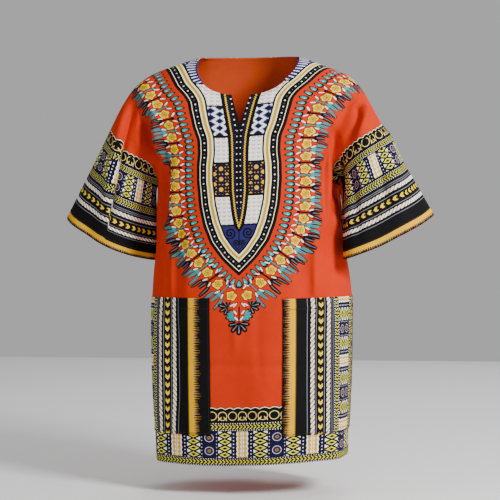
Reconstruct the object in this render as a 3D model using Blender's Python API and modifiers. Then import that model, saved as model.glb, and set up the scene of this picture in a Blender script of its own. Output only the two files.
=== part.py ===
"""A dashiki shirt as it hangs when worn: a front and a back, each cut in one with its half of both wide
sleeves, and two patch pockets.

Metres, +Z up. The front of the shirt faces -Y, and +X is to the right of someone who looks at that front.
The origin lies between the two high points of the shoulders, where the wearer's shoulders carry the shirt.
A panel point has two cloth coordinates: s, the distance across the flat panel from its centre line, and
v, the way down, which is 0 on the shoulder line, 1 at the level of the underarm and more than 1 below it.
"""
import math

import bpy
import numpy as np

# Driving dimensions of the cut and of the way it is worn
CLOTH = 0.0012
SEAM_HALF_GAP = 0.00018
UNDERARM_HALF_GAP = 0.00055
PANEL_HALF = 0.280
SIDE_LENGTH = 0.745
NECK_HALF = 0.093
NECK_DROP = 0.079
NECK_ROUNDNESS = 2.6
NECK_CORNER = 0.0765
NOTCH_HALF = 0.0187
NOTCH_DROP = 0.134
BACK_NECK_RISE = 0.006
SHOULDER_SLOPE = math.radians(18.3)
ARM_SLOPE = math.radians(62)
SHOULDER_BEND_START = 0.154
SHOULDER_BEND_END = 0.262
UNDERARM_Z = -0.235
LOWER_SCALE = 0.39
ARMHOLE_BULGE = 0.072

# The section of the torso is a rounded box: its two half axes change with the height
SECTION_POWER = 0.80
FRONT_VIRTUAL_TOP = 0.010
BACK_VIRTUAL_TOP = 0.030
#           height   half_width  front_depth  back_depth
TORSO = (
    (0.00, 0.170, 0.112, 0.112),
    (-0.235, 0.168, 0.112, 0.118),
    (-0.300, 0.173, 0.118, 0.121),
    (-0.350, 0.173, 0.121, 0.119),
    (-0.400, 0.181, 0.123, 0.116),
    (-0.460, 0.186, 0.125, 0.114),
    (-0.600, 0.184, 0.124, 0.118),
    (-0.745, 0.177, 0.122, 0.122),
)
SECTION_ROW = 4

# The shirt hangs a little out of line: its middle wanders to the side, its +X shoulder lies lower and its
# hem is hitched up on that side
#         height  middle
LEAN = (
    (0.00, 0.0010),
    (-0.04, -0.0040),
    (-0.08, -0.0075),
    (-0.20, -0.0045),
    (-0.32, 0.0000),
    (-0.45, 0.0042),
    (-0.745, 0.0045),
)
SHOULDER_SETTLE = 0.005
HITCH = 0.011
HITCH_START = -0.030
HITCH_REACH = 0.200

# Pockets, in cloth coordinates of the front panel
POCKET_CLOTH = 0.0010
POCKET_GAP = 0.0003
POCKET_TOP_Z = {"left": -0.446, "right": -0.450}
POCKET_BOTTOM_Z = {"left": -0.691, "right": -0.697}
POCKET_INNER = {"left": 0.0665, "right": 0.0765}

# Sleeves: the cuff is a flattened ring between an outer and an inner corner
CUFF_OUTER = {"left": (-0.349, 0.006, -0.296), "right": (0.3395, 0.004, -0.295)}
CUFF_INNER = {"left": (-0.181, 0.030, -0.378), "right": (0.1775, -0.050, -0.376)}
CUFF_SAG = {("left", False): 0.014, ("right", False): 0.010, ("left", True): 0.006, ("right", True): 0.007}
CUFF_DEPTH = 0.062
CUFF_EDGE_POWER = 1.12
UNDERARM_ARCH = 0.0055
UNDERARM_ARCH_AT = 0.16
BLEND_COLUMNS = 3
BLEND_PASSES = 6

# Numbers of cells in the grids
NECK_COLUMNS = (0.0, 0.0094, 0.0187, 0.0310, 0.0430, 0.0550, 0.0665, 0.0765)
SIDE_CELLS = 13
SHOULDER_ROWS = 5
ARMHOLE_ROWS = 12
CHEST_ROWS = 5
POCKET_ROWS = 7
HEM_ROWS = 2
SLEEVE_CELLS = 11

# Folds: soft ridges (height > 0) and troughs (height < 0) that run down a panel. A fold's line goes from s_top
# to s_end, between the two rows v_top and v_end, and fades out over its ends.
#   s_top    s_end   v_top  v_end  half_width  height
FRONT_FOLDS = (
    (-0.226, -0.212, 0.18, 1.25, 0.022, -0.011),
    (-0.200, -0.178, 0.10, 1.05, 0.020, 0.006),
    (0.222, 0.186, 0.18, 1.50, 0.024, -0.012),
    (0.196, 0.150, 0.10, 1.30, 0.022, 0.006),
    (-0.150, -0.143, 1.05, 2.20, 0.020, -0.005),
    (0.128, 0.124, 1.05, 2.20, 0.018, -0.006),
    (-0.205, -0.190, 1.45, 2.40, 0.026, 0.006),
    (0.178, 0.196, 1.40, 2.40, 0.028, 0.007),
    (0.245, 0.215, 1.20, 1.48, 0.030, -0.008),
    (-0.035, -0.030, 1.60, 2.40, 0.045, -0.004),
    (0.030, 0.045, 1.70, 2.40, 0.030, 0.003),
)
BACK_FOLDS = (
    (-0.222, -0.190, 0.20, 1.40, 0.024, -0.011),
    (0.220, 0.186, 0.20, 1.40, 0.024, -0.011),
    (-0.190, -0.150, 0.30, 2.00, 0.024, 0.006),
    (0.188, 0.146, 0.30, 2.00, 0.024, 0.006),
    (-0.095, -0.082, 0.95, 2.40, 0.028, -0.008),
    (-0.030, -0.022, 1.05, 2.40, 0.026, 0.007),
    (0.034, 0.040, 1.10, 2.40, 0.026, -0.008),
    (0.098, 0.104, 0.95, 2.40, 0.028, 0.007),
    (-0.160, -0.172, 1.30, 2.40, 0.026, -0.006),
    (0.166, 0.178, 1.30, 2.40, 0.026, -0.007),
)
# Sleeve folds run from the shoulder's end to the cuff. Their place on a sleeve half is 0 on top, 1 under the arm.
#   at_shoulder  at_cuff  half_width  height
SLEEVE_FOLDS = {
    ("left", "front"): (
        (0.28, 0.34, 0.12, -0.007),
        (0.55, 0.60, 0.15, 0.007),
        (0.84, 0.86, 0.11, -0.005),
    ),
    ("right", "front"): (
        (0.24, 0.30, 0.13, 0.005),
        (0.48, 0.56, 0.14, -0.006),
        (0.76, 0.82, 0.12, 0.006),
    ),
    ("left", "back"): (
        (0.40, 0.40, 0.15, 0.007),
        (0.72, 0.78, 0.14, -0.006),
    ),
    ("right", "back"): (
        (0.34, 0.38, 0.15, 0.006),
        (0.68, 0.76, 0.14, -0.007),
    ),
}

# Print colours of the cloth pieces
ORANGE = (0.78, 0.10, 0.02, 1.0)
BLACK = (0.02, 0.02, 0.025, 1.0)


def smooth(x):
    x = np.clip(x, 0.0, 1.0)
    return x * x * (3.0 - 2.0 * x)


def shoulder_table():
    """Points of the shoulder line, found by turning steadily from the shoulder's slope to the arm's slope."""
    s = np.linspace(0.0, PANEL_HALF, 561)
    turn = smooth((s - SHOULDER_BEND_START) / (SHOULDER_BEND_END - SHOULDER_BEND_START))
    slope = SHOULDER_SLOPE + (ARM_SLOPE - SHOULDER_SLOPE) * turn
    slope = slope * smooth(s / NECK_HALF)
    step = s[1] - s[0]
    x = np.concatenate([[0.0], np.cumsum(np.cos(slope[:-1]) * step)])
    z = np.concatenate([[0.0], np.cumsum(-np.sin(slope[:-1]) * step)])
    at_neck = np.interp(NECK_HALF, s, z)
    x_shift = NECK_HALF - np.interp(NECK_HALF, s, x)
    return s, x + x_shift * smooth(s / NECK_HALF), z - at_neck


SHOULDER_S, SHOULDER_X, SHOULDER_Z = shoulder_table()


def section_table():
    """Share of the quarter section's arc and the angle there, so that cloth is spread evenly round it."""
    angle = np.linspace(0.0, math.pi / 2, 721)
    x = TORSO[SECTION_ROW][1] * np.sin(angle) ** SECTION_POWER
    y = TORSO[SECTION_ROW][2] * np.cos(angle) ** SECTION_POWER
    arc = np.concatenate([[0.0], np.cumsum(np.hypot(np.diff(x), np.diff(y)))])
    return arc / arc[-1], angle


SECTION_SHARE, SECTION_ANGLE = section_table()


def through_rows(table, z, column):
    """A table's value at height z, smoothly through its rows."""
    heights = np.array([row[0] for row in table])[::-1]
    values = np.array([row[column] for row in table])[::-1]
    near = [np.interp(z + d, heights, values) for d in (-0.02, -0.01, 0.0, 0.01, 0.02)]
    return sum(near) / len(near)


def shoulder_point(s, top):
    """x and z of the shoulder line. Inside the neck the line is only a guide, and rises to the height top."""
    inside = smooth(1.0 - np.abs(s) / NECK_HALF)
    x = np.sign(s) * np.interp(np.abs(s), SHOULDER_S, SHOULDER_X)
    z = np.interp(np.abs(s), SHOULDER_S, SHOULDER_Z)
    return x, z * (1.0 - inside) + top * inside


def panel_base(s, v, back):
    """Points of a panel without its folds."""
    s, v = np.broadcast_arrays(np.asarray(s, float), np.asarray(v, float))
    share = np.abs(s) / PANEL_HALF
    x_top, z_top = shoulder_point(s, BACK_VIRTUAL_TOP if back else FRONT_VIRTUAL_TOP)
    drop = z_top - UNDERARM_Z
    turn = np.clip(v, -0.2, 1.0) * math.pi / 2
    z = z_top - drop * (1.0 - np.cos(turn)) - np.maximum(v - 1.0, 0.0) * LOWER_SCALE
    depth_column = 3 if back else 2
    angle = np.interp(np.minimum(share, 1.0), SECTION_SHARE, SECTION_ANGLE)
    x_ring = np.sign(s) * through_rows(TORSO, z, 1) * np.sin(angle) ** SECTION_POWER
    y_ring = through_rows(TORSO, z, depth_column) * np.abs(np.cos(angle)) ** SECTION_POWER
    centre = smooth(1.0 - np.abs(s) / 0.14)
    power = 1.0 + (-0.25 if back else 0.85) * centre
    grown = np.sign(turn) * np.abs(np.sin(turn)) ** power
    bulge = ARMHOLE_BULGE * np.sin(math.pi * np.clip(v, 0.0, 1.0)) ** 1.35 * share ** 4
    x = x_top + (x_ring - x_top) * smooth(v) ** 1.9
    y = y_ring * grown + bulge
    hitch = HITCH * np.clip((x - HITCH_START) / HITCH_REACH, 0.0, 1.1) * smooth(v - 1.0)
    settle = SHOULDER_SETTLE * smooth((x - 0.06) / 0.10) * (1.0 - smooth(v))
    return np.stack([x + through_rows(LEAN, z, 1), y if back else -y, z + hitch - settle], axis=-1)


def normals(surface, a, b):
    """Unit normals of surface(a, b), from small steps to both sides."""
    d = 1e-4
    across = surface(a + d, b) - surface(a - d, b)
    down = surface(a, b + d) - surface(a, b - d)
    n = np.cross(down, across)
    return n / np.linalg.norm(n, axis=-1, keepdims=True)


def fold_height(s, v, folds):
    """How far the folds push the cloth out at each point."""
    total = np.zeros_like(s + v)
    for s_top, s_end, v_top, v_end, half_width, height in folds:
        along = (v - v_top) / (v_end - v_top)
        line = s_top + (s_end - s_top) * np.clip(along, 0.0, 1.0)
        across = (s - line) / half_width
        ends = smooth(along * 4.0) * smooth((1.0 - along) * 4.0)
        if v_end > 2.3:
            ends = smooth(along * 3.0)
        total = total + height * np.exp(-across * across) * ends
    return total * smooth((PANEL_HALF - np.abs(s)) / 0.03) * smooth(v / 0.25)


def panel(s, v, back, out=0.0):
    """Points of a panel with its folds, moved out by a distance along its normals."""
    s, v = np.broadcast_arrays(np.asarray(s, float), np.asarray(v, float))
    base = panel_base(s, v, back)
    n = normals(lambda a, b: panel_base(a, b, back), np.clip(s, -PANEL_HALF + 2e-4, PANEL_HALF - 2e-4), v)
    if back:
        n = -n
    height = fold_height(s, v, BACK_FOLDS if back else FRONT_FOLDS)
    points = base + n * (height + out)[..., None]
    underarm = np.exp(-((v - 1.0) / 0.14) ** 2) * smooth((np.abs(s) / PANEL_HALF - 0.90) * 10.0)
    gap = SEAM_HALF_GAP + (UNDERARM_HALF_GAP - SEAM_HALF_GAP) * underarm
    points[..., 1] += gap if back else -gap
    return points


def row_at(z, s, back=False):
    """The v at which the panel's column s reaches height z, before the hitch."""
    _, z_top = shoulder_point(np.asarray(s, float), BACK_VIRTUAL_TOP if back else FRONT_VIRTUAL_TOP)
    if z < UNDERARM_Z:
        return 1.0 + (UNDERARM_Z - z) / LOWER_SCALE
    return math.acos(max(-1.0, 1.0 - (z_top - z) / (z_top - UNDERARM_Z))) * 2.0 / math.pi


def neckline_row(s, back):
    """The v where column s starts: on the shoulder line, or at the neckline or notch inside it."""
    share = abs(s) / NECK_HALF
    if share >= 1.0 - 1e-9:
        return 0.0
    if back:
        return row_at(BACK_NECK_RISE * (1.0 - share ** NECK_ROUNDNESS), s, back=True)
    z = -NECK_DROP * (1.0 - share ** NECK_ROUNDNESS) ** (1.0 / NECK_ROUNDNESS)
    if abs(s) < NOTCH_HALF:
        z = z - (NOTCH_DROP - NECK_DROP) * (1.0 - abs(s) / NOTCH_HALF)
    return row_at(z, s)


def neckline_half(v):
    """Half the width of the neck opening where the front's row v meets it."""
    share = -UNDERARM_Z * (1.0 - math.cos(v * math.pi / 2)) / NECK_DROP
    return NECK_HALF * (1.0 - share ** NECK_ROUNDNESS) ** (1.0 / NECK_ROUNDNESS)


def columns():
    """Cloth positions of the columns across a panel, from its -X edge to its +X edge."""
    side = [NECK_CORNER + (PANEL_HALF - NECK_CORNER) * (i + 1) / SIDE_CELLS for i in range(SIDE_CELLS)]
    half = list(NECK_COLUMNS) + side
    return [-s for s in half[:0:-1]] + half


def spread(breaks, cells):
    """Values that run through the breaks, with a number of equal cells between each two."""
    values = [breaks[0]]
    for top, end, count in zip(breaks, breaks[1:], cells):
        values += [top + (end - top) * (i + 1) / count for i in range(count)]
    return values


def front_grid():
    """Cloth coordinates of the front's grid, and which of its points there are: the neck opening has none.

    Columns in the neck opening start on the neckline's lower part, and rows beside it on its upright part."""
    corner = neckline_row(NECK_CORNER, False)
    cells = (ARMHOLE_ROWS - SHOULDER_ROWS, CHEST_ROWS, POCKET_ROWS, HEM_ROWS)
    s_grid, v_grid, there = [], [], []
    for s in columns():
        side = "left" if s < 0 else "right"
        in_neck = abs(s) < NECK_CORNER - 1e-9
        start = neckline_row(s, False) if in_neck else corner
        below = spread((start, 1.0, row_at(POCKET_TOP_Z[side], s), row_at(POCKET_BOTTOM_Z[side], s),
                        row_at(-SIDE_LENGTH, s)), cells)
        above = [corner * r / SHOULDER_ROWS for r in range(SHOULDER_ROWS)]
        edge = [neckline_half(v) for v in above]
        beside = (abs(s) - NECK_CORNER) / (PANEL_HALF - NECK_CORNER)
        moved = [math.copysign(e + beside * (PANEL_HALF - e), s) for e in edge]
        s_grid.append(moved + [s] * len(below))
        v_grid.append(above + below)
        there.append([not in_neck] * SHOULDER_ROWS + [True] * len(below))
    return np.array(s_grid).T, np.array(v_grid).T, np.array(there).T


def back_grid():
    """Cloth coordinates of the back's grid: each column runs from the shoulder or the neckline to the hem."""
    cells = (ARMHOLE_ROWS, CHEST_ROWS + POCKET_ROWS + HEM_ROWS)
    v_grid = [spread((neckline_row(s, True), 1.0, row_at(-SIDE_LENGTH, s, back=True)), cells) for s in columns()]
    v = np.array(v_grid).T
    return np.broadcast_to(np.array(columns()), v.shape), v


def make_material(name, colour):
    material = bpy.data.materials.new(name)
    material.use_nodes = True
    shader = material.node_tree.nodes["Principled BSDF"]
    shader.inputs["Base Color"].default_value = colour
    shader.inputs["Roughness"].default_value = 0.85
    shader.inputs["Metallic"].default_value = 0.0
    return material


def cloth_object(name, points, thickness, material, collection, there=None, flip=False):
    """A wall of cloth from a grid of points: rows down, columns across. Points that are not there leave a gap."""
    rows, across = points.shape[:2]
    there = np.ones((rows, across), bool) if there is None else there
    number = np.cumsum(there.ravel()).reshape(there.shape) - 1
    vertices = [tuple(p) for p in points[there]]
    faces = []
    for r in range(rows - 1):
        for c in range(across - 1):
            corners = ((r, c), (r + 1, c), (r + 1, c + 1), (r, c + 1))
            if all(there[corner] for corner in corners):
                face = tuple(int(number[corner]) for corner in corners)
                faces.append(face[::-1] if flip else face)
    mesh = bpy.data.meshes.new(name)
    mesh.from_pydata(vertices, [], faces)
    mesh.materials.append(material)
    mesh.shade_smooth()
    piece = bpy.data.objects.new(name, mesh)
    collection.objects.link(piece)
    wall = piece.modifiers.new("wall", "SOLIDIFY")
    wall.thickness = thickness
    wall.offset = 0.0
    return piece


def pocket_points(side, front_s, front_v):
    """The front panel's own grid points under a pocket, moved out."""
    inner = POCKET_INNER[side]
    s_row = np.array(columns())
    keep = s_row <= -inner + 1e-9 if side == "left" else s_row >= inner - 1e-9
    first = ARMHOLE_ROWS + CHEST_ROWS
    rows = slice(first, first + POCKET_ROWS + 1)
    s = front_s[rows][:, keep]
    v = front_v[rows][:, keep]
    out = CLOTH / 2 + POCKET_GAP + POCKET_CLOTH / 2
    return panel(s, v, False, out=out)


def cuff_table(side):
    """Share of the half cuff's arc and the angle there."""
    half = np.linalg.norm(np.subtract(CUFF_OUTER[side], CUFF_INNER[side])) / 2
    angle = np.linspace(0.0, math.pi, 721)
    arc = np.concatenate([[0.0], np.cumsum(np.hypot(np.diff(half * np.cos(angle)),
                                                    np.diff(CUFF_DEPTH * np.sin(angle) ** CUFF_EDGE_POWER)))])
    return arc / arc[-1], angle


def cuff_point(share, side, back):
    """A point of the cuff's front or back half: share 0 is its outer corner, 1 its inner corner."""
    shares, angles = cuff_table(side)
    angle = np.interp(share, shares, angles)
    outer, inner = np.array(CUFF_OUTER[side]), np.array(CUFF_INNER[side])
    centre, half = (outer + inner) / 2, (outer - inner) / 2
    point = centre + half * np.cos(angle)[..., None]
    gap = SEAM_HALF_GAP + (UNDERARM_HALF_GAP - SEAM_HALF_GAP) * smooth((share - 0.8) * 5.0)
    depth = CUFF_DEPTH * np.abs(np.sin(angle)) ** CUFF_EDGE_POWER + gap
    point[..., 1] += depth if back else -depth
    down = np.array([-half[2], 0.0, half[0]]) / np.linalg.norm(half) * (1 if side == "left" else -1)
    return point + CUFF_SAG[side, back] * (np.abs(np.sin(angle)) ** 1.2)[..., None] * down


def sleeve_half(side, edge, back, w):
    """A sleeve's front or back half: it goes on from the panel's edge points to the cuff, at the shares w."""
    step = np.linalg.norm(np.diff(edge, axis=0), axis=1)
    share = np.concatenate([[0.0], np.cumsum(step)]) / step.sum()
    cuff = cuff_point(share, side, back)
    w = np.asarray(w, float)[None, :, None]
    grid = edge[:, None] * (1 - w) + cuff[:, None] * w
    axis = cuff.mean(axis=0) - edge.mean(axis=0)
    axis /= np.linalg.norm(axis)
    outward = grid - (grid[:1] + grid[-1:]) / 2
    outward -= (outward @ axis)[..., None] * axis
    outward /= np.linalg.norm(outward, axis=-1, keepdims=True)
    push = np.zeros(grid.shape[:2])
    for at_shoulder, at_cuff, half_width, height in SLEEVE_FOLDS[side, "back" if back else "front"]:
        line = at_shoulder + (at_cuff - at_shoulder) * w[:, :, 0]
        across = (share[:, None] - line) / half_width
        push += height * np.exp(-across * across) * smooth(w[:, :, 0] * 1.6)
    push *= smooth(np.sin(share * math.pi) * 2.0)[:, None]
    arch = (w[:, :, 0] / UNDERARM_ARCH_AT) ** 0.7 * np.exp(0.7 * (1 - w[:, :, 0] / UNDERARM_ARCH_AT))
    arch = UNDERARM_ARCH * arch * smooth((share - 0.6) / 0.4)[:, None] * smooth((1 - w[:, :, 0]) * 3.0)
    grid = grid + outward * push[..., None]
    grid[..., 0] += arch * (-1 if side == "left" else 1)
    return grid


def with_sleeves(points, there, back):
    """A panel's grid with its sleeve halves as more columns on both sides of the rows above the underarm."""
    w = np.arange(1, SLEEVE_CELLS + 1) / SLEEVE_CELLS
    rows = ARMHOLE_ROWS + 1
    parts, masks = [], []
    for side, column in (("left", 0), ("right", -1)):
        half = np.zeros((len(points), SLEEVE_CELLS, 3))
        half[:rows] = sleeve_half(side, points[:rows, column], back, w)
        parts.append(half[:, ::-1] if side == "left" else half)
        masks.append(np.repeat((np.arange(len(points)) < rows)[:, None], SLEEVE_CELLS, axis=1))
    points = np.concatenate([parts[0], points, parts[1]], axis=1)
    there = np.concatenate([masks[0], there, masks[1]], axis=1)
    across = points.shape[1]
    nearness = np.zeros(across)
    for seam in (SLEEVE_CELLS, across - 1 - SLEEVE_CELLS):
        for k in range(-BLEND_COLUMNS, BLEND_COLUMNS + 1):
            nearness[seam + k] = 0.5 * (1.0 - abs(k) / (BLEND_COLUMNS + 1))
    depth = smooth(np.minimum(np.arange(rows) / 2.0, (rows - 1 - np.arange(rows)) / 5.0))
    for _ in range(BLEND_PASSES):
        middle = (np.roll(points[:rows], 1, axis=1) + np.roll(points[:rows], -1, axis=1)) / 2
        amount = (depth[:, None] * nearness[None, :])[..., None]
        points[:rows] += (middle - points[:rows]) * amount
    return points, there


def build():
    for old in list(bpy.data.objects):
        bpy.data.objects.remove(old)
    collection = bpy.data.collections.new("dashiki_shirt")
    bpy.context.scene.collection.children.link(collection)
    body = make_material("orange_print_cotton", ORANGE)
    border = make_material("black_border_cotton", BLACK)

    front_s, front_v, there = front_grid()
    front, there = with_sleeves(panel(front_s, front_v, False), there, False)
    cloth_object("front", front, CLOTH, body, collection, there=there)
    back = panel(*back_grid(), True)
    back, there = with_sleeves(back, np.ones(back.shape[:2], bool), True)
    cloth_object("back", back, CLOTH, body, collection, there=there, flip=True)
    for side in ("left", "right"):
        pocket = pocket_points(side, front_s, front_v)
        cloth_object("pocket_" + side, pocket, POCKET_CLOTH, border, collection)


build()
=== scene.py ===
"""The looks of a worn dashiki shirt: the printed cotton of its front and back, its two patch pockets, and the
sewing. The shells have the same form as the solids, from the same sizes, with more creases and the print.

Metres, +Z up. The front faces -Y. Lengths in the print are in millimetres of cloth.
"""
import math

import bpy
import numpy as np
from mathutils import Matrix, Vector


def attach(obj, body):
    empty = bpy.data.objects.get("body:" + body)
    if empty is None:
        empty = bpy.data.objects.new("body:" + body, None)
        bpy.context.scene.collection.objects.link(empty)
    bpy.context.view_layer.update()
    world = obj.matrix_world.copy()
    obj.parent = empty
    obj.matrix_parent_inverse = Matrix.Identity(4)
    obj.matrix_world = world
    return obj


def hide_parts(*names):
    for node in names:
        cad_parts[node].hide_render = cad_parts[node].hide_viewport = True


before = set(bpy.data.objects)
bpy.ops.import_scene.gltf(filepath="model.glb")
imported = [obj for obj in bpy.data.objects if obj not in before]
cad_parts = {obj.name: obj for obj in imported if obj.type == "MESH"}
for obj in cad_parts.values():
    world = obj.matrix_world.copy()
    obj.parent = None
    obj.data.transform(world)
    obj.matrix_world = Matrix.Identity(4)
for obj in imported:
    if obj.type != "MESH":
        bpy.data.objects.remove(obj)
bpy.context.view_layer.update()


# Driving dimensions of the cut and of the way it is worn
CLOTH = 0.0012
SEAM_HALF_GAP = 0.00018
UNDERARM_HALF_GAP = 0.00055
PANEL_HALF = 0.280
SIDE_LENGTH = 0.745
NECK_HALF = 0.093
NECK_DROP = 0.079
NECK_ROUNDNESS = 2.6
NECK_CORNER = 0.0765
NOTCH_HALF = 0.0187
NOTCH_DROP = 0.134
BACK_NECK_RISE = 0.006
SHOULDER_SLOPE = math.radians(18.3)
ARM_SLOPE = math.radians(62)
SHOULDER_BEND_START = 0.154
SHOULDER_BEND_END = 0.262
UNDERARM_Z = -0.235
LOWER_SCALE = 0.39
ARMHOLE_BULGE = 0.072
BULGE_POWER = 1.35
# How the cloth goes over from the shoulder line to the torso's section: its width's power, and how much fuller or
# flatter its middle is than a quarter circle, within a distance from the middle
WIDTH_POWER = 1.9
MIDDLE_HALF = 0.14
FRONT_FULLNESS = 0.85
BACK_FULLNESS = -0.25

# The section of the torso is a rounded box: its two half axes change with the height
SECTION_POWER = 0.80
FRONT_VIRTUAL_TOP = 0.010
BACK_VIRTUAL_TOP = 0.030
#           height   half_width  front_depth  back_depth
TORSO = (
    (0.00, 0.170, 0.112, 0.112),
    (-0.235, 0.168, 0.112, 0.118),
    (-0.300, 0.173, 0.118, 0.121),
    (-0.350, 0.173, 0.121, 0.119),
    (-0.400, 0.181, 0.123, 0.116),
    (-0.460, 0.186, 0.125, 0.114),
    (-0.600, 0.184, 0.124, 0.118),
    (-0.745, 0.177, 0.122, 0.122),
)
SECTION_ROW = 4

# The shirt hangs a little out of line: its middle wanders to the side, its +X shoulder lies lower and its
# hem is hitched up on that side
#         height  middle
LEAN = (
    (0.00, 0.0010),
    (-0.04, -0.0040),
    (-0.08, -0.0075),
    (-0.20, -0.0045),
    (-0.32, 0.0000),
    (-0.45, 0.0042),
    (-0.745, 0.0045),
)
SHOULDER_SETTLE = 0.005
SETTLE_START = 0.06
SETTLE_REACH = 0.10
HITCH = 0.011
HITCH_START = -0.030
HITCH_REACH = 0.200

# Pockets, in cloth coordinates of the front panel
POCKET_CLOTH = 0.0010
POCKET_GAP = 0.0003
POCKET_TOP_Z = {"left": -0.446, "right": -0.450}
POCKET_BOTTOM_Z = {"left": -0.691, "right": -0.697}
POCKET_INNER = {"left": 0.0665, "right": 0.0765}

# Sleeves: the cuff is a flattened ring between an outer and an inner corner
CUFF_OUTER = {"left": (-0.349, 0.006, -0.296), "right": (0.3395, 0.004, -0.295)}
CUFF_INNER = {"left": (-0.181, 0.030, -0.378), "right": (0.1775, -0.050, -0.376)}
CUFF_SAG = {("left", False): 0.014, ("right", False): 0.010, ("left", True): 0.006, ("right", True): 0.007}
CUFF_DEPTH = 0.062
CUFF_EDGE_POWER = 1.12
UNDERARM_ARCH = 0.0055
UNDERARM_ARCH_AT = 0.16
BLEND_COLUMNS = 3
BLEND_PASSES = 6

# Numbers of cells in the solids' grids. The shells here have FINE times as many each way.
FINE = 6
NECK_COLUMNS = (0.0, 0.0094, 0.0187, 0.0310, 0.0430, 0.0550, 0.0665, 0.0765)
SIDE_CELLS = 13
SHOULDER_ROWS = 5
ARMHOLE_ROWS = 12
CHEST_ROWS = 5
POCKET_ROWS = 7
HEM_ROWS = 2
SLEEVE_CELLS = 11

# Folds: soft ridges (height > 0) and troughs (height < 0) that run down a panel. A fold's line goes from s_top
# to s_end, between the two rows v_top and v_end, and fades out over its ends.
#   s_top    s_end   v_top  v_end  half_width  height
FRONT_FOLDS = (
    (-0.226, -0.212, 0.18, 1.25, 0.022, -0.011),
    (-0.200, -0.178, 0.10, 1.05, 0.020, 0.006),
    (0.222, 0.186, 0.18, 1.50, 0.024, -0.012),
    (0.196, 0.150, 0.10, 1.30, 0.022, 0.006),
    (-0.150, -0.143, 1.05, 2.20, 0.020, -0.005),
    (0.128, 0.124, 1.05, 2.20, 0.018, -0.006),
    (-0.205, -0.190, 1.45, 2.40, 0.026, 0.006),
    (0.178, 0.196, 1.40, 2.40, 0.028, 0.007),
    (0.245, 0.215, 1.20, 1.48, 0.030, -0.008),
    (-0.035, -0.030, 1.60, 2.40, 0.045, -0.004),
    (0.030, 0.045, 1.70, 2.40, 0.030, 0.003),
)
BACK_FOLDS = (
    (-0.222, -0.190, 0.20, 1.40, 0.024, -0.011),
    (0.220, 0.186, 0.20, 1.40, 0.024, -0.011),
    (-0.190, -0.150, 0.30, 2.00, 0.024, 0.006),
    (0.188, 0.146, 0.30, 2.00, 0.024, 0.006),
    (-0.095, -0.082, 0.95, 2.40, 0.028, -0.008),
    (-0.030, -0.022, 1.05, 2.40, 0.026, 0.007),
    (0.034, 0.040, 1.10, 2.40, 0.026, -0.008),
    (0.098, 0.104, 0.95, 2.40, 0.028, 0.007),
    (-0.160, -0.172, 1.30, 2.40, 0.026, -0.006),
    (0.166, 0.178, 1.30, 2.40, 0.026, -0.007),
)
# Sleeve folds run from the shoulder's end to the cuff. Their place on a sleeve half is 0 on top, 1 under the arm.
#   at_shoulder  at_cuff  half_width  height
SLEEVE_FOLDS = {
    ("left", "front"): ((0.28, 0.34, 0.12, -0.007), (0.55, 0.60, 0.15, 0.007), (0.84, 0.86, 0.11, -0.005)),
    ("right", "front"): ((0.24, 0.30, 0.13, 0.005), (0.48, 0.56, 0.14, -0.006), (0.76, 0.82, 0.12, 0.006)),
    ("left", "back"): ((0.40, 0.40, 0.15, 0.007), (0.72, 0.78, 0.14, -0.006)),
    ("right", "back"): ((0.34, 0.38, 0.15, 0.006), (0.68, 0.76, 0.14, -0.007)),
}


def smooth(x):
    """Rises softly from 0 to 1 as x does."""
    x = np.clip(x, 0.0, 1.0)
    return x * x * (3.0 - 2.0 * x)


def path_length(points, axis=0):
    """Distance along a line of points, or along a grid's rows or columns, from the first point."""
    step = np.linalg.norm(np.diff(points, axis=axis), axis=-1)
    zero = np.zeros_like(np.take(step, [0], axis=axis))
    return np.concatenate([zero, np.cumsum(step, axis=axis)], axis=axis)


def unit(vectors):
    """The vectors at length 1."""
    return vectors / np.linalg.norm(vectors, axis=-1, keepdims=True)


def at_places(places, line, values):
    """The values of a line's points at places along it, given as distances from its first point."""
    walked = path_length(line)
    return np.stack([np.interp(places, walked, values[:, k]) for k in range(3)], axis=1)


def shoulder_table():
    """Points of the shoulder line, found by turning steadily from the shoulder's slope to the arm's slope."""
    s = np.linspace(0.0, PANEL_HALF, 561)
    turn = smooth((s - SHOULDER_BEND_START) / (SHOULDER_BEND_END - SHOULDER_BEND_START))
    slope = SHOULDER_SLOPE + (ARM_SLOPE - SHOULDER_SLOPE) * turn
    slope = slope * smooth(s / NECK_HALF)
    step = s[1] - s[0]
    x = np.concatenate([[0.0], np.cumsum(np.cos(slope[:-1]) * step)])
    z = np.concatenate([[0.0], np.cumsum(-np.sin(slope[:-1]) * step)])
    at_neck = np.interp(NECK_HALF, s, z)
    x_shift = NECK_HALF - np.interp(NECK_HALF, s, x)
    return s, x + x_shift * smooth(s / NECK_HALF), z - at_neck


SHOULDER_S, SHOULDER_X, SHOULDER_Z = shoulder_table()


def section_table():
    """Share of the quarter section's arc and the angle there, so that cloth is spread evenly round it."""
    angle = np.linspace(0.0, math.pi / 2, 721)
    x = TORSO[SECTION_ROW][1] * np.sin(angle) ** SECTION_POWER
    y = TORSO[SECTION_ROW][2] * np.cos(angle) ** SECTION_POWER
    arc = path_length(np.stack([x, y], axis=1))
    return arc / arc[-1], angle


SECTION_SHARE, SECTION_ANGLE = section_table()


def through_rows(table, z, column):
    """A table's value at height z, smoothly through its rows."""
    heights = np.array([row[0] for row in table])[::-1]
    values = np.array([row[column] for row in table])[::-1]
    near = [np.interp(z + d, heights, values) for d in (-0.02, -0.01, 0.0, 0.01, 0.02)]
    return sum(near) / len(near)


def shoulder_point(s, top):
    """x and z of the shoulder line. Inside the neck the line is only a guide, and rises to the height top."""
    inside = smooth(1.0 - np.abs(s) / NECK_HALF)
    x = np.sign(s) * np.interp(np.abs(s), SHOULDER_S, SHOULDER_X)
    z = np.interp(np.abs(s), SHOULDER_S, SHOULDER_Z)
    return x, z * (1.0 - inside) + top * inside


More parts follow.
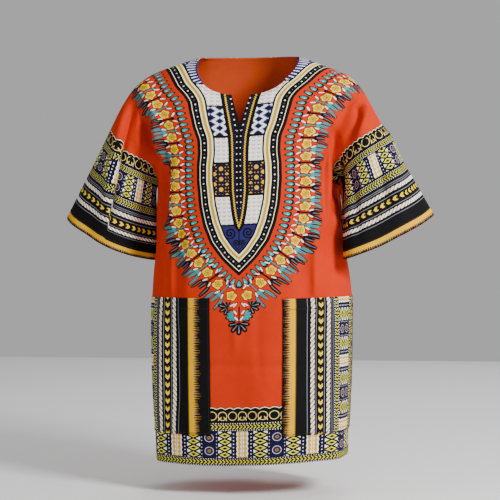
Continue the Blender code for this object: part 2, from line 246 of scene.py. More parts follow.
def panel_base(s, v, back):
    """Points of a panel without its folds."""
    s, v = np.broadcast_arrays(np.asarray(s, float), np.asarray(v, float))
    share = np.abs(s) / PANEL_HALF
    x_top, z_top = shoulder_point(s, BACK_VIRTUAL_TOP if back else FRONT_VIRTUAL_TOP)
    drop = z_top - UNDERARM_Z
    turn = np.clip(v, -0.2, 1.0) * math.pi / 2
    z = z_top - drop * (1.0 - np.cos(turn)) - np.maximum(v - 1.0, 0.0) * LOWER_SCALE
    depth_column = 3 if back else 2
    angle = np.interp(np.minimum(share, 1.0), SECTION_SHARE, SECTION_ANGLE)
    x_ring = np.sign(s) * through_rows(TORSO, z, 1) * np.sin(angle) ** SECTION_POWER
    y_ring = through_rows(TORSO, z, depth_column) * np.abs(np.cos(angle)) ** SECTION_POWER
    power = 1.0 + (BACK_FULLNESS if back else FRONT_FULLNESS) * smooth(1.0 - np.abs(s) / MIDDLE_HALF)
    grown = np.sign(turn) * np.abs(np.sin(turn)) ** power
    bulge = ARMHOLE_BULGE * np.sin(math.pi * np.clip(v, 0.0, 1.0)) ** BULGE_POWER * share ** 4
    x = x_top + (x_ring - x_top) * smooth(v) ** WIDTH_POWER
    y = y_ring * grown + bulge
    hitch = HITCH * np.clip((x - HITCH_START) / HITCH_REACH, 0.0, 1.1) * smooth(v - 1.0)
    settle = SHOULDER_SETTLE * smooth((x - SETTLE_START) / SETTLE_REACH) * (1.0 - smooth(v))
    return np.stack([x + through_rows(LEAN, z, 1), y if back else -y, z + hitch - settle], axis=-1)


def normals(surface, a, b):
    """Unit normals of surface(a, b), from small steps to both sides."""
    d = 1e-4
    across = surface(a + d, b) - surface(a - d, b)
    down = surface(a, b + d) - surface(a, b - d)
    return unit(np.cross(down, across))


def fold_height(s, v, folds):
    """How far the folds push the cloth out at each point."""
    total = np.zeros_like(s + v)
    for s_top, s_end, v_top, v_end, half_width, height in folds:
        along = (v - v_top) / (v_end - v_top)
        line = s_top + (s_end - s_top) * np.clip(along, 0.0, 1.0)
        across = (s - line) / half_width
        ends = smooth(along * 4.0) * smooth((1.0 - along) * 4.0)
        if v_end > 2.3:
            ends = smooth(along * 3.0)
        total = total + height * np.exp(-across * across) * ends
    return total * smooth((PANEL_HALF - np.abs(s)) / 0.03) * smooth(v / 0.25)


def panel(s, v, back, out=0.0):
    """Points of a panel with its folds, moved out by a distance along its normals."""
    s, v = np.broadcast_arrays(np.asarray(s, float), np.asarray(v, float))
    base = panel_base(s, v, back)
    n = normals(lambda a, b: panel_base(a, b, back), np.clip(s, -PANEL_HALF + 2e-4, PANEL_HALF - 2e-4), v)
    if back:
        n = -n
    height = fold_height(s, v, BACK_FOLDS if back else FRONT_FOLDS)
    points = base + n * (height + out)[..., None]
    underarm = np.exp(-((v - 1.0) / 0.14) ** 2) * smooth((np.abs(s) / PANEL_HALF - 0.90) * 10.0)
    gap = SEAM_HALF_GAP + (UNDERARM_HALF_GAP - SEAM_HALF_GAP) * underarm
    points[..., 1] += gap if back else -gap
    return points


def row_at(z, s, back=False):
    """The v at which the panel's column s reaches height z, before the hitch."""
    _, z_top = shoulder_point(np.asarray(s, float), BACK_VIRTUAL_TOP if back else FRONT_VIRTUAL_TOP)
    if z < UNDERARM_Z:
        return 1.0 + (UNDERARM_Z - z) / LOWER_SCALE
    return math.acos(max(-1.0, 1.0 - (z_top - z) / (z_top - UNDERARM_Z))) * 2.0 / math.pi


def neckline_row(s, back):
    """The v where column s starts: on the shoulder line, or at the neckline or notch inside it."""
    share = abs(s) / NECK_HALF
    if share >= 1.0 - 1e-9:
        return 0.0
    if back:
        return row_at(BACK_NECK_RISE * (1.0 - share ** NECK_ROUNDNESS), s, back=True)
    z = -NECK_DROP * (1.0 - share ** NECK_ROUNDNESS) ** (1.0 / NECK_ROUNDNESS)
    if abs(s) < NOTCH_HALF:
        z = z - (NOTCH_DROP - NECK_DROP) * (1.0 - abs(s) / NOTCH_HALF)
    return row_at(z, s)


def neckline_half(v):
    """Half the width of the neck opening where the front's row v meets it."""
    share = -UNDERARM_Z * (1.0 - math.cos(v * math.pi / 2)) / NECK_DROP
    return NECK_HALF * (1.0 - share ** NECK_ROUNDNESS) ** (1.0 / NECK_ROUNDNESS)


def columns():
    """Cloth positions of the columns across a panel, from its -X edge to its +X edge."""
    cells = SIDE_CELLS * FINE
    side = [NECK_CORNER + (PANEL_HALF - NECK_CORNER) * (i + 1) / cells for i in range(cells)]
    places = np.arange(FINE * (len(NECK_COLUMNS) - 1) + 1) / FINE
    half = list(np.interp(places, np.arange(len(NECK_COLUMNS)), NECK_COLUMNS)) + side
    return np.array([-s for s in half[:0:-1]] + half)


def spread(breaks, cells):
    """Values that run through the breaks, with a number of equal cells between each two."""
    values = [breaks[0]]
    for top, end, count in zip(breaks, breaks[1:], cells):
        values += [top + (end - top) * (i + 1) / (count * FINE) for i in range(count * FINE)]
    return values


def front_grid():
    """Cloth coordinates of the front's grid, and which of its points there are: the neck opening has none.

    Columns in the neck opening start on the neckline's lower part, and rows beside it on its upright part."""
    corner = neckline_row(NECK_CORNER, False)
    cells = (ARMHOLE_ROWS - SHOULDER_ROWS, CHEST_ROWS, POCKET_ROWS, HEM_ROWS)
    s_grid, v_grid, there = [], [], []
    for s in columns():
        side = "left" if s < 0 else "right"
        in_neck = abs(s) < NECK_CORNER - 1e-9
        start = neckline_row(s, False) if in_neck else corner
        below = spread((start, 1.0, row_at(POCKET_TOP_Z[side], s), row_at(POCKET_BOTTOM_Z[side], s),
                        row_at(-SIDE_LENGTH, s)), cells)
        above = [corner * r / (SHOULDER_ROWS * FINE) for r in range(SHOULDER_ROWS * FINE)]
        edge = [neckline_half(v) for v in above]
        beside = (abs(s) - NECK_CORNER) / (PANEL_HALF - NECK_CORNER)
        moved = [math.copysign(e + beside * (PANEL_HALF - e), s) for e in edge]
        s_grid.append(moved + [s] * len(below))
        v_grid.append(above + below)
        there.append([not in_neck] * len(above) + [True] * len(below))
    return np.array(s_grid).T, np.array(v_grid).T, np.array(there).T


def back_grid():
    """Cloth coordinates of the back's grid: each column runs from the shoulder or the neckline to the hem."""
    cells = (ARMHOLE_ROWS, CHEST_ROWS + POCKET_ROWS + HEM_ROWS)
    v_grid = [spread((neckline_row(s, True), 1.0, row_at(-SIDE_LENGTH, s, back=True)), cells) for s in columns()]
    v = np.array(v_grid).T
    return np.broadcast_to(columns(), v.shape), v


def cuff_table(side):
    """Share of the half cuff's arc and the angle there."""
    half = np.linalg.norm(np.subtract(CUFF_OUTER[side], CUFF_INNER[side])) / 2
    angle = np.linspace(0.0, math.pi, 721)
    arc = path_length(np.stack([half * np.cos(angle), CUFF_DEPTH * np.sin(angle) ** CUFF_EDGE_POWER], axis=1))
    return arc / arc[-1], angle


def cuff_point(share, side, back):
    """A point of the cuff's front or back half: share 0 is its outer corner, 1 its inner corner."""
    shares, angles = cuff_table(side)
    angle = np.interp(share, shares, angles)
    outer, inner = np.array(CUFF_OUTER[side]), np.array(CUFF_INNER[side])
    centre, half = (outer + inner) / 2, (outer - inner) / 2
    point = centre + half * np.cos(angle)[..., None]
    gap = SEAM_HALF_GAP + (UNDERARM_HALF_GAP - SEAM_HALF_GAP) * smooth((share - 0.8) * 5.0)
    depth = CUFF_DEPTH * np.abs(np.sin(angle)) ** CUFF_EDGE_POWER + gap
    point[..., 1] += depth if back else -depth
    down = np.array([-half[2], 0.0, half[0]]) / np.linalg.norm(half) * (1 if side == "left" else -1)
    return point + CUFF_SAG[side, back] * (np.abs(np.sin(angle)) ** 1.2)[..., None] * down


def sleeve_half(side, edge, back, w):
    """A sleeve's front or back half: it goes on from the panel's edge points to the cuff, at the shares w."""
    share = path_length(edge)
    share /= share[-1]
    cuff = cuff_point(share, side, back)
    w = np.asarray(w, float)[None, :, None]
    grid = edge[:, None] * (1 - w) + cuff[:, None] * w
    axis = unit(cuff.mean(axis=0) - edge.mean(axis=0))
    outward = grid - (grid[:1] + grid[-1:]) / 2
    outward = unit(outward - (outward @ axis)[..., None] * axis)
    push = np.zeros(grid.shape[:2])
    for at_shoulder, at_cuff, half_width, height in SLEEVE_FOLDS[side, "back" if back else "front"]:
        line = at_shoulder + (at_cuff - at_shoulder) * w[:, :, 0]
        across = (share[:, None] - line) / half_width
        push += height * np.exp(-across * across) * smooth(w[:, :, 0] * 1.6)
    push *= smooth(np.sin(share * math.pi) * 2.0)[:, None]
    arch = (w[:, :, 0] / UNDERARM_ARCH_AT) ** 0.7 * np.exp(0.7 * (1 - w[:, :, 0] / UNDERARM_ARCH_AT))
    arch = UNDERARM_ARCH * arch * smooth((share - 0.6) / 0.4)[:, None] * smooth((1 - w[:, :, 0]) * 3.0)
    grid = grid + outward * push[..., None]
    grid[..., 0] += arch * (-1 if side == "left" else 1)
    return grid


def with_sleeves(points, there, back):
    """A panel's grid with its sleeve halves as more columns on both sides of the rows above the underarm."""
    cells = SLEEVE_CELLS * FINE
    w = np.arange(1, cells + 1) / cells
    rows = ARMHOLE_ROWS * FINE + 1
    halves = np.zeros((2, len(points), cells, 3))
    for half, side, column in zip(halves, ("left", "right"), (0, -1)):
        half[:rows] = sleeve_half(side, points[:rows, column], back, w)
    mask = np.repeat((np.arange(len(points)) < rows)[:, None], cells, axis=1)
    points = np.concatenate([halves[0][:, ::-1], points, halves[1]], axis=1)
    there = np.concatenate([mask, there, mask], axis=1)
    across = points.shape[1]
    nearness = np.zeros(across)
    reach = (BLEND_COLUMNS + 1) * FINE
    for seam in (cells, across - 1 - cells):
        for k in range(1 - reach, reach):
            nearness[seam + k] = 0.5 * (1.0 - abs(k) / reach)
    down = np.arange(rows) / FINE
    depth = smooth(np.minimum(down / 2.0, (ARMHOLE_ROWS - down) / 5.0))
    for _ in range(BLEND_PASSES * FINE * FINE):
        middle = (np.roll(points[:rows], 1, axis=1) + np.roll(points[:rows], -1, axis=1)) / 2
        amount = (depth[:, None] * nearness[None, :])[..., None]
        points[:rows] += (middle - points[:rows]) * amount
    return points, there


# Where the middle of the print lies across the front, in millimetres, by the height above the hem
#    height  middle
PRINT_MIDDLE = (
    (19, -9.7),
    (224, -8.5),
    (338, -7.0),
    (475, -3.2),
    (605, -1.3),
    (750, 0.0),
)
# The cloth stands a little slack round the body, so the print lies closer together across than the panel's own
# measure says
#    panel  print
PRINT_WIDTH = (
    (0, 0),
    (38, 33),
    (93, 76),
    (145, 117),
    (200, 160),
    (600, 528),
)

# Creases seen from the front, in millimetres: each runs through three places and pushes the cloth out by its
# height, or in
#    x0  z0  x1  z1  x2  z2  half_width  height
FRONT_CREASES = (
    (-182, -99, -178, -157, -165, -204, 8.5, -12),
    (-196, -92, -201, -133, -201, -190, 8, 6.5),
    (-168, -106, -166, -152, -153, -200, 7.5, 6),
    (-143, -165, -147, -242, -155, -330, 9.5, -14.5),
    (-124, -180, -126, -260, -134, -352, 10, 5.5),
    (-129, -345, -129, -405, -129, -455, 5.5, 4.2),
    (129, -270, 129, -378, 129, -456, 5.5, 4.5),
    (159, -128, 166, -215, 162, -305, 8, -13.5),
    (147, -140, 149, -233, 145, -345, 7.5, 7.5),
    (153, -269, 169, -295, 184, -329, 5.5, -5),
    (210, -94, 217, -121, 194, -179, 7, 6.5),
    (197, -95, 202, -124, 180, -179, 7, -7),
    (226, -139, 241, -197, 263, -333, 9, -7),
    (247, -124, 265, -197, 291, -320, 9.5, 6),
    (191, -197, 198, -269, 209, -364, 9, -6),
    (-150, -562, 4, -567, 150, -563, 5.5, -2.2),
    (-209, -86, -227, -179, -267, -347, 5.8, -8.5),
    (-221, -84, -241, -179, -282, -338, 8.5, 6.5),
    (-119, -237, -94, -262, -68, -273, 5, 2.2),
    (-116, -278, -86, -309, -54, -327, 5.5, 2),
    (144, -215, 115, -244, 85, -258, 5.5, 2.4),
    (140, -180, 104, -190, 70, -180, 6, 2),
    (-18, -440, -10, -500, -16, -556, 8.5, 1.8),
    (37, -447, 30, -520, 40, -620, 8.5, -1.4),
    (-100, -330, -94, -390, -104, -450, 8, 2.2),
    (95, -330, 102, -385, 94, -446, 7.5, -2.2),
    (-152, -451, -147, -559, -156, -686, 8.5, 3.2),
    (-118, -470, -112, -570, -120, -680, 8, -2.4),
    (173, -454, 166, -559, 180, -686, 8.5, 3.2),
    (120, -470, 128, -580, 118, -690, 8, -2.4),
    (85, -454, 129, -462, 184, -452, 6.5, 2),
)
BACK_CREASES = (
    (-178, -96, -172, -150, -150, -214, 8.5, -5.5),
    (-194, -94, -198, -140, -190, -190, 8, 4.5),
    (180, -100, 176, -160, 156, -222, 8.5, -5.5),
    (197, -96, 203, -150, 196, -205, 8, 4.5),
    (-140, -190, -134, -262, -138, -350, 11, -6),
    (142, -180, 138, -270, 144, -365, 12, -6.5),
    (-115, -180, -70, -215, -18, -226, 9, 2.6),
    (120, -190, 82, -236, 30, -252, 8, 2.2),
    (-70, -110, -30, -126, 14, -116, 9, -2),
    (-226, -130, -244, -205, -268, -330, 8, -4.5),
    (-250, -120, -272, -200, -300, -310, 9.5, 4),
    (228, -130, 247, -210, 262, -335, 8.5, -4.5),
    (252, -125, 270, -205, 300, -305, 9, 3.5),
    (-35, -330, -28, -450, -41, -610, 9, -2.6),
    (60, -360, 66, -480, 58, -660, 8.5, 2.4),
    (-95, -400, -88, -520, -100, -690, 10, 2.6),
    (120, -380, 112, -500, 124, -640, 9, -2.4),
    (-150, -520, 0, -512, 160, -523, 3, -1),
)
# The left sleeve's front is lapped over itself along a line from the shoulder to the cuff. Beyond it, towards the
# body, the border lies lower, and a part of its blocks is taken up by the lap.
#    height  x
LAP = ((-0.36, -0.269), (-0.179, -0.228), (-0.086, -0.209))
LAP_DROP = 13.0
LAP_TAKES_UP = 55.0
LAP_RAMP = 50
# Under the arm the print lies this much closer, over the last part of the armhole's rows
UNDERARM_CLOSER = 3.0
CLOSER_FROM = 0.75


def grid_normals(points, flip):
    """Unit normals of a grid of points, on the outer side of the cloth."""
    n = np.cross(np.gradient(points, axis=0), np.gradient(points, axis=1))
    n /= np.linalg.norm(n, axis=-1, keepdims=True) + 1e-12
    return -n if flip else n


def placed(name, data):
    """A new object in the scene."""
    piece = bpy.data.objects.new(name, data)
    bpy.context.scene.collection.objects.link(piece)
    return piece


def new_material(name, colour):
    """A new material and its shader."""
    material = bpy.data.materials.new(name)
    material.use_nodes = True
    shader = material.node_tree.nodes["Principled BSDF"]
    shader.inputs["Base Color"].default_value = colour
    return material, shader


def shell(name, points, there, attributes, regions, materials, thickness, flip=False):
    """A thin shell of cloth from a grid of points, with named values at its points and a material for each region."""
    number = np.cumsum(there.ravel()).reshape(there.shape) - 1
    r, c = np.nonzero(there[:-1, :-1] & there[1:, :-1] & there[1:, 1:] & there[:-1, 1:])
    faces = np.stack([number[r, c], number[r + 1, c], number[r + 1, c + 1], number[r, c + 1]], axis=1)
    mesh = bpy.data.meshes.new(name)
    mesh.from_pydata(points[there].tolist(), [], (faces[:, ::-1] if flip else faces).tolist())
    for material in materials:
        mesh.materials.append(material)
    for key, values in attributes.items():
        layer = mesh.attributes.new(key, "FLOAT_VECTOR", "POINT")
        layer.data.foreach_set("vector", values[there].astype(np.float32).ravel())
    mesh.polygons.foreach_set("material_index", regions[r, c].astype(np.int32))
    mesh.shade_smooth()
    piece = placed(name, mesh)
    wall = piece.modifiers.new("wall", "SOLIDIFY")
    wall.thickness = thickness
    wall.offset = 0.0
    wall.material_offset = len(materials)
    return piece


CREASE_POINTS = 97
CREASE_REACH = 0.03
CREASE_FADE = 3.5


def crease_height(points, creases):
    """How far the creases push each point out."""
    total = np.zeros(points.shape[:2])
    t = np.linspace(0.0, 1.0, CREASE_POINTS)
    ends = smooth(t * CREASE_FADE) * smooth((1 - t) * CREASE_FADE)
    for crease in creases:
        *places, half_width, height = np.array(crease) / 1000
        close, square = np.ones(total.shape, bool), 0.0
        lines = []
        for grid, (start, middle, end) in zip((points[..., 0], points[..., 2]), (places[::2], places[1::2])):
            line = (1 - t) ** 2 * start + 2 * t * (1 - t) * (2 * middle - (start + end) / 2) + t * t * end
            close &= (grid > line.min() - CREASE_REACH) & (grid < line.max() + CREASE_REACH)
            lines.append((grid, line))
        for grid, line in lines:
            square = square + (grid[close][:, None] - line) ** 2
        k = np.argmin(square, axis=1)
        total[close] += height * np.exp(-square[np.arange(len(k)), k] / half_width ** 2) * ends[k]
    return total


HEIGHT_COLUMNS = 112
HEIGHT_ROWS = 240


def height_on_cloth(s, v, back):
    """Distance of each panel point from the hem, up along the cloth."""
    s_line = np.linspace(-PANEL_HALF, PANEL_HALF, HEIGHT_COLUMNS + 1)
    v_end = row_at(-SIDE_LENGTH, 0.0, back)
    v_line = np.linspace(0.0, v_end, HEIGHT_ROWS + 1)
    length = path_length(panel(s_line[None, :], v_line[:, None], back))
    height = length[-1:] - length
    column = np.clip((s + PANEL_HALF) / (2 * PANEL_HALF), 0, 1) * HEIGHT_COLUMNS
    row = np.clip(v / v_end, 0, 1) * HEIGHT_ROWS
    c0 = np.minimum(column.astype(int), HEIGHT_COLUMNS - 1)
    r0 = np.minimum(row.astype(int), HEIGHT_ROWS - 1)
    fc, fr = column - c0, row - r0
    top = height[r0, c0] * (1 - fc) + height[r0, c0 + 1] * fc
    low = height[r0 + 1, c0] * (1 - fc) + height[r0 + 1, c0 + 1] * fc
    return top * (1 - fr) + low * fr


def cloth_coordinates(s, v, points, back):
    """Where each point lies on the flat cloth, in millimetres.

    cut holds the place across, from the print's middle, and the height above the hem. edge holds the distance
    from the cuff and the place round the sleeve from its top."""
    cells = SLEEVE_CELLS * FINE
    reach = SIDE_CELLS * FINE
    rows = ARMHOLE_ROWS * FINE + 1
    across = np.zeros(points.shape[:2])
    height = np.zeros(points.shape[:2])
    height[:, cells:-cells] = height_on_cloth(s, v, back)
    middle = np.interp(height[:, cells:-cells] * 1000, *np.array(PRINT_MIDDLE).T) / 1000
    panel_place = (s - (0.0 if back else middle)) * 1000
    across[:, cells:-cells] = np.sign(panel_place) * np.interp(np.abs(panel_place), *np.array(PRINT_WIDTH).T) / 1000
    from_cuff = np.full(points.shape[:2], 1.0)
    around = np.zeros(points.shape[:2])
    closer = smooth((np.arange(rows) / (rows - 1) - CLOSER_FROM) / (1 - CLOSER_FROM))
    for way in (1, -1):
        strip = points[:rows, ::way]
        step = np.linalg.norm(np.diff(strip[:, :cells + reach], axis=1), axis=-1)
        step[:, cells:] *= 1.0 + UNDERARM_CLOSER * closer[:, None]
        walked = np.concatenate([np.zeros((rows, 1)), np.cumsum(step, axis=1)], axis=1)
        side_cuff, side_around, side_across, side_height = (
            grid[:rows, ::way] for grid in (from_cuff, around, across, height))
        side_cuff[:, :cells + reach] = walked
        side_around[:, :cells + reach] = path_length(strip[:, 0])[:, None]
        out = walked[:, cells:cells + 1] - walked[:, :cells]
        side_across[:, :cells] = side_across[:, cells:cells + 1] - way * out
        side_height[:, :cells] = side_height[:, cells:cells + 1]
    cut = np.stack([across, height, across * 0], axis=-1) * 1000.0
    edge = np.stack([from_cuff, around, across * 0], axis=-1) * 1000.0
    if not back:
        lapped = (points[..., 0] > np.interp(points[..., 2], *np.array(LAP).T)) & (points[..., 0] < 0)
        edge[..., 1] += lapped * LAP_TAKES_UP
        edge[..., 0] += lapped * LAP_DROP * smooth(edge[..., 0] / LAP_RAMP)
    return cut, edge


# The print, in millimetres. The yoke's outer edge and the line through the flowers, from the shoulder to the tip.
#    half_width  height_above_hem
YOKE_EDGE = ((134, 762), (114, 713), (104, 689), (90, 669), (84, 656), (82.7, 640), (78.4, 608), (72, 584),
             (72, 560), (75.5, 535), (76, 508), (71, 463), (63.5, 429), (52, 397), (32, 369), (0, 337.6))
FLOWER_LINE = ((162, 712), (150, 690), (133, 652), (122, 628), (118, 600), (116, 572), (116, 535), (116, 495),
               (114, 463), (110, 433), (104, 411), (96, 395), (85, 381), (70, 364), (54, 345), (36, 324),
               (15, 304), (0, 291))
# Half width of the yellow lines beside the notch and below it
PLACKET_LINE = ((720, 36.5), (690, 30), (674, 26.6), (614, 16.4), (591, 12.6), (563, 11.2), (491, 11.2), (462, 8.2),
                (441, 4.8), (424, 0))
DROP_OFFSET = 14.4
# How far up the flower line the stems stand, from the tip. Beyond the last the pitch stays the same.
STEM_PLACES = (0, 35, 63, 88, 110, 131, 152, 173, 194, 216)
STEM_PITCH = 22.5
ROUNDING_PASSES = 60


def resampled(line, step=0.5):
    """Points at equal steps along a line, with its corners a little rounded."""
    line = np.array(line, float)
    at = path_length(line)
    even = np.arange(0.0, at[-1], step)
    x, y = np.interp(even, at, line[:, 0]), np.interp(even, at, line[:, 1])
    for _ in range(ROUNDING_PASSES):
        x[1:-1] = (x[:-2] + 2 * x[1:-1] + x[2:]) / 4
        y[1:-1] = (y[:-2] + 2 * y[1:-1] + y[2:]) / 4
    return np.stack([x, y], axis=1)


def offset_line(line, distance):
    """The line moved outward, and cut off at the middle."""
    way = unit(np.gradient(line, axis=0))
    moved = line + distance * np.stack([-way[:, 1], way[:, 0]], axis=1)
    moved = moved[moved[:, 0] > 0]
    tip = np.array([[0.0, moved[-1, 1] - moved[-1, 0] * 0.3]])
    return resampled(np.concatenate([moved, tip]))


def near_line(x, y, line):
    """Place along the line from its lower end, and distance outward from it, for points on either half."""
    length = path_length(line[::-1])[::-1]
    way = unit(np.gradient(line, axis=0))
    t, n = np.zeros(x.shape), np.zeros(x.shape)
    for i in range(len(x)):
        dx = np.abs(x[i])[:, None] - line[None, :, 0]
        dy = y[i][:, None] - line[None, :, 1]
        k = np.argmin(dx * dx + dy * dy, axis=1)
        j = np.arange(len(k))
        out = -way[k, 1] * dx[j, k] + way[k, 0] * dy[j, k]
        t[i] = length[k] - way[k, 0] * dx[j, k] - way[k, 1] * dy[j, k]
        n[i] = np.sign(out) * np.hypot(dx[j, k], dy[j, k])
    return t, n


YOKE_LINE = resampled(YOKE_EDGE)
DROP_LINE = offset_line(YOKE_LINE, DROP_OFFSET)
STEM_LINE = resampled(FLOWER_LINE)


def print_coordinates(cut):
    """The yoke's, the drops' and the flowers' own coordinates at each point of a panel."""
    x, y = cut[..., 0], cut[..., 1]
    t, n = near_line(x, y, YOKE_LINE)
    table = np.array(PLACKET_LINE[::-1], float)
    half = np.interp(y, table[:, 0], table[:, 1])
    lean = (np.interp(y + 2, table[:, 0], table[:, 1]) - np.interp(y - 2, table[:, 0], table[:, 1])) / 4
    beyond = np.minimum(y - table[0, 0], 0.0)
    placket = (np.abs(x) - half - beyond * 0.8) / np.sqrt(1 + lean ** 2)
    yoke = np.stack([-n, t, placket], axis=-1)
    t, n = near_line(x, y, DROP_LINE)
    drops = np.stack([t, n, x * 0], axis=-1)
    t, n = near_line(x, y, STEM_LINE)
    last = STEM_PLACES[-1]
    far = len(STEM_PLACES) - 1 + (t - last) / STEM_PITCH
    stem = np.where(t > last, far, np.interp(t, STEM_PLACES, np.arange(len(STEM_PLACES))))
    pitch = np.interp(stem, np.arange(len(STEM_PLACES) - 1) + 0.5, np.diff(STEM_PLACES))
    flowers = np.stack([stem, n, pitch], axis=-1)
    return yoke, drops, flowers


# Which print a part of the cloth has, and how far each reaches in millimetres
PLAIN, YOKE, RING, HEM, SLEEVE = range(5)
RING_REACH = 50
TAIL_HALF = 45
TAIL_FROM = 215
YOKE_MARGIN = -5
HEM_REACH = 114
SLEEVE_REACH = 202


def print_regions(cut, edge, yoke, flowers):
    """The number of the print on each cell of a panel's grid."""
    def middle(values):
        return (values[:-1, :-1] + values[1:, :-1] + values[1:, 1:] + values[:-1, 1:]) / 4

    across, height = middle(cut[..., 0]), middle(cut[..., 1])
    from_cuff, inside, beyond = middle(edge[..., 0]), middle(yoke[..., 0]), middle(flowers[..., 1])
    region = np.full(across.shape, PLAIN)
    region[(beyond < RING_REACH) | ((np.abs(across) < TAIL_HALF) & (height > TAIL_FROM))] = RING
    region[inside > YOKE_MARGIN] = YOKE
    region[height < HEM_REACH] = HEM
    region[from_cuff < SLEEVE_REACH] = SLEEVE
    return region


def body_piece(back):
    """A fine grid of the front or the back: points, which of them there are, and coordinates."""
    if back:
        s, v = back_grid()
        there = np.ones(s.shape, bool)
    else:
        s, v, there = front_grid()
    points, there = with_sleeves(panel(s, v, back), there, back)
    cut, edge = cloth_coordinates(s, v, points, back)
    height = crease_height(points, BACK_CREASES if back else FRONT_CREASES)
    points = points + grid_normals(points, back) * height[..., None]
    return points, there, cut, edge, s, v


front_points, front_there, front_cut, front_edge, front_s, front_v = body_piece(False)
back_points, back_there, back_cut, back_edge = body_piece(True)[:4]


def srgb(red, green, blue):
    """A colour as it is seen, of 0 to 255 each, as the linear values that a shader takes."""
    return tuple(((c / 255 + 0.055) / 1.055) ** 2.4 if c > 10 else c / 3295 for c in (red, green, blue)) + (1.0,)


GROUND = (0.51, 0.021, 0.0, 1.0)
SOOT = srgb(92, 90, 98)
STRAW = srgb(222, 196, 110)
BROWN = srgb(150, 100, 14)
INK = srgb(9, 8, 10)
NAVY = srgb(14, 14, 44)
VIOLET = srgb(36, 32, 92)
CREAM = srgb(248, 242, 196)
WHITE = srgb(240, 238, 240)
TAN = srgb(186, 140, 0)
GOLD = srgb(222, 166, 0)
YELLOW = srgb(240, 200, 40)
PALE_YELLOW = srgb(222, 176, 20)
OLIVE = srgb(112, 84, 14)
TURQUOISE = srgb(30, 146, 146)
GREY = srgb(118, 119, 128)
BLUE = srgb(60, 66, 120)
MAROON = srgb(95, 22, 18)
PINK = srgb(225, 205, 210)
LIME = srgb(216, 207, 62)
REVERSE = srgb(206, 78, 34)


class Field:
    """A value that varies over the cloth. Arithmetic on fields adds math nodes to the material."""

    def __init__(self, tree, socket):
        self.tree, self.socket = tree, socket

    def math(self, operation, *others):
        node = self.tree.nodes.new("ShaderNodeMath")
        node.operation = operation
        for slot, value in zip(node.inputs, (self, *others)):
            if isinstance(value, Field):
                self.tree.links.new(value.socket, slot)
            else:
                slot.default_value = value
        return Field(self.tree, node.outputs[0])

    def repeat(self, pitch):
        """Place within a repeat of the pitch, from -pitch / 2 to pitch / 2, with 0 at each whole multiple."""
        return (self + pitch / 2).math("FLOORED_MODULO", pitch) - pitch / 2

    def within(self, low, high):
        return self.math("COMPARE", (low + high) / 2, (high - low) / 2)

    def distance(self, other):
        return (self * self + other * other).math("SQRT")


# fold gives the distance to the nearest whole multiple of twice a length
OPERATIONS = {
    "__add__": "ADD", "__radd__": "ADD", "__sub__": "SUBTRACT", "__mul__": "MULTIPLY", "__rmul__": "MULTIPLY",
    "__truediv__": "DIVIDE", "__pow__": "POWER", "__abs__": "ABSOLUTE", "__lt__": "LESS_THAN",
    "__gt__": "GREATER_THAN", "least": "MINIMUM", "most": "MAXIMUM", "sine": "SINE", "fold": "PINGPONG",
}
for method, operation in OPERATIONS.items():
    setattr(Field, method, lambda field, *others, operation=operation: field.math(operation, *others))


# The cotton's looks: scales of its noises, gloss, and relief
BLOTCHES = 55.0
WEAVE = 600.0
WRINKLES = 38.0
YARNS = 900.0
COTTON_ROUGHNESS = 0.78
COTTON_SHEEN = 0.12
BUMP_STRENGTH = 0.35
BUMP_DEPTH = 0.0006


class Print:
    """A cotton material on which colours are printed one over another, each where its mask is 1."""

    def __init__(self, name, ground):
        self.material, self.shader = new_material(name, ground)
        self.tree = self.material.node_tree
        self.ground = ground
        self.socket = None

    def fields(self, attribute):
        node = self.tree.nodes.new("ShaderNodeAttribute")
        node.attribute_name = attribute
        parts = self.tree.nodes.new("ShaderNodeSeparateXYZ")
        self.tree.links.new(node.outputs["Vector"], parts.inputs[0])
        return [Field(self.tree, socket) for socket in parts.outputs]

    def mix(self, blend="MIX"):
        """A mix of the print so far with another colour."""
        node = self.tree.nodes.new("ShaderNodeMix")
        node.data_type = "RGBA"
        node.blend_type = blend
        if self.socket is None:
            node.inputs[6].default_value = self.ground
        else:
            self.tree.links.new(self.socket, node.inputs[6])
        return node

    def over(self, colour, mask):
        mix = self.mix()
        mix.clamp_factor = True
        self.tree.links.new(mask.socket, mix.inputs[0])
        mix.inputs[7].default_value = colour
        self.socket = mix.outputs[2]

    def noise(self, scale, detail=2.0):
        place = self.tree.nodes.new("ShaderNodeTexCoord")
        node = self.tree.nodes.new("ShaderNodeTexNoise")
        node.inputs["Scale"].default_value = scale
        node.inputs["Detail"].default_value = detail
        self.tree.links.new(place.outputs["Object"], node.inputs["Vector"])
        return Field(self.tree, node.outputs["Fac"])

    def finish(self):
        """Uneven dye, the weave and the cotton's soft gloss."""
        tree = self.tree
        shade = self.mix("MULTIPLY")
        shade.inputs[0].default_value = 1.0
        uneven = self.noise(BLOTCHES) * 0.16 + self.noise(WEAVE) * 0.22 + 0.81
        tree.links.new(uneven.socket, shade.inputs[7])
        tree.links.new(shade.outputs[2], self.shader.inputs["Base Color"])
        self.shader.inputs["Roughness"].default_value = COTTON_ROUGHNESS
        self.shader.inputs["Specular IOR Level"].default_value = COTTON_SHEEN
        bump = tree.nodes.new("ShaderNodeBump")
        bump.inputs["Strength"].default_value = BUMP_STRENGTH
        bump.inputs["Distance"].default_value = BUMP_DEPTH
        wrinkle = self.noise(WRINKLES, 3.0) * 1.6 + self.noise(YARNS) * 0.5
        tree.links.new(wrinkle.socket, bump.inputs["Height"])
        tree.links.new(bump.outputs["Normal"], self.shader.inputs["Normal"])
        return self.material


# Bands of the border. Each runs from low to high, in millimetres from the cloth's edge, and along it.


def plain_band(paint, colour, across, along, low, high):
    paint(colour, across.within(low, high))


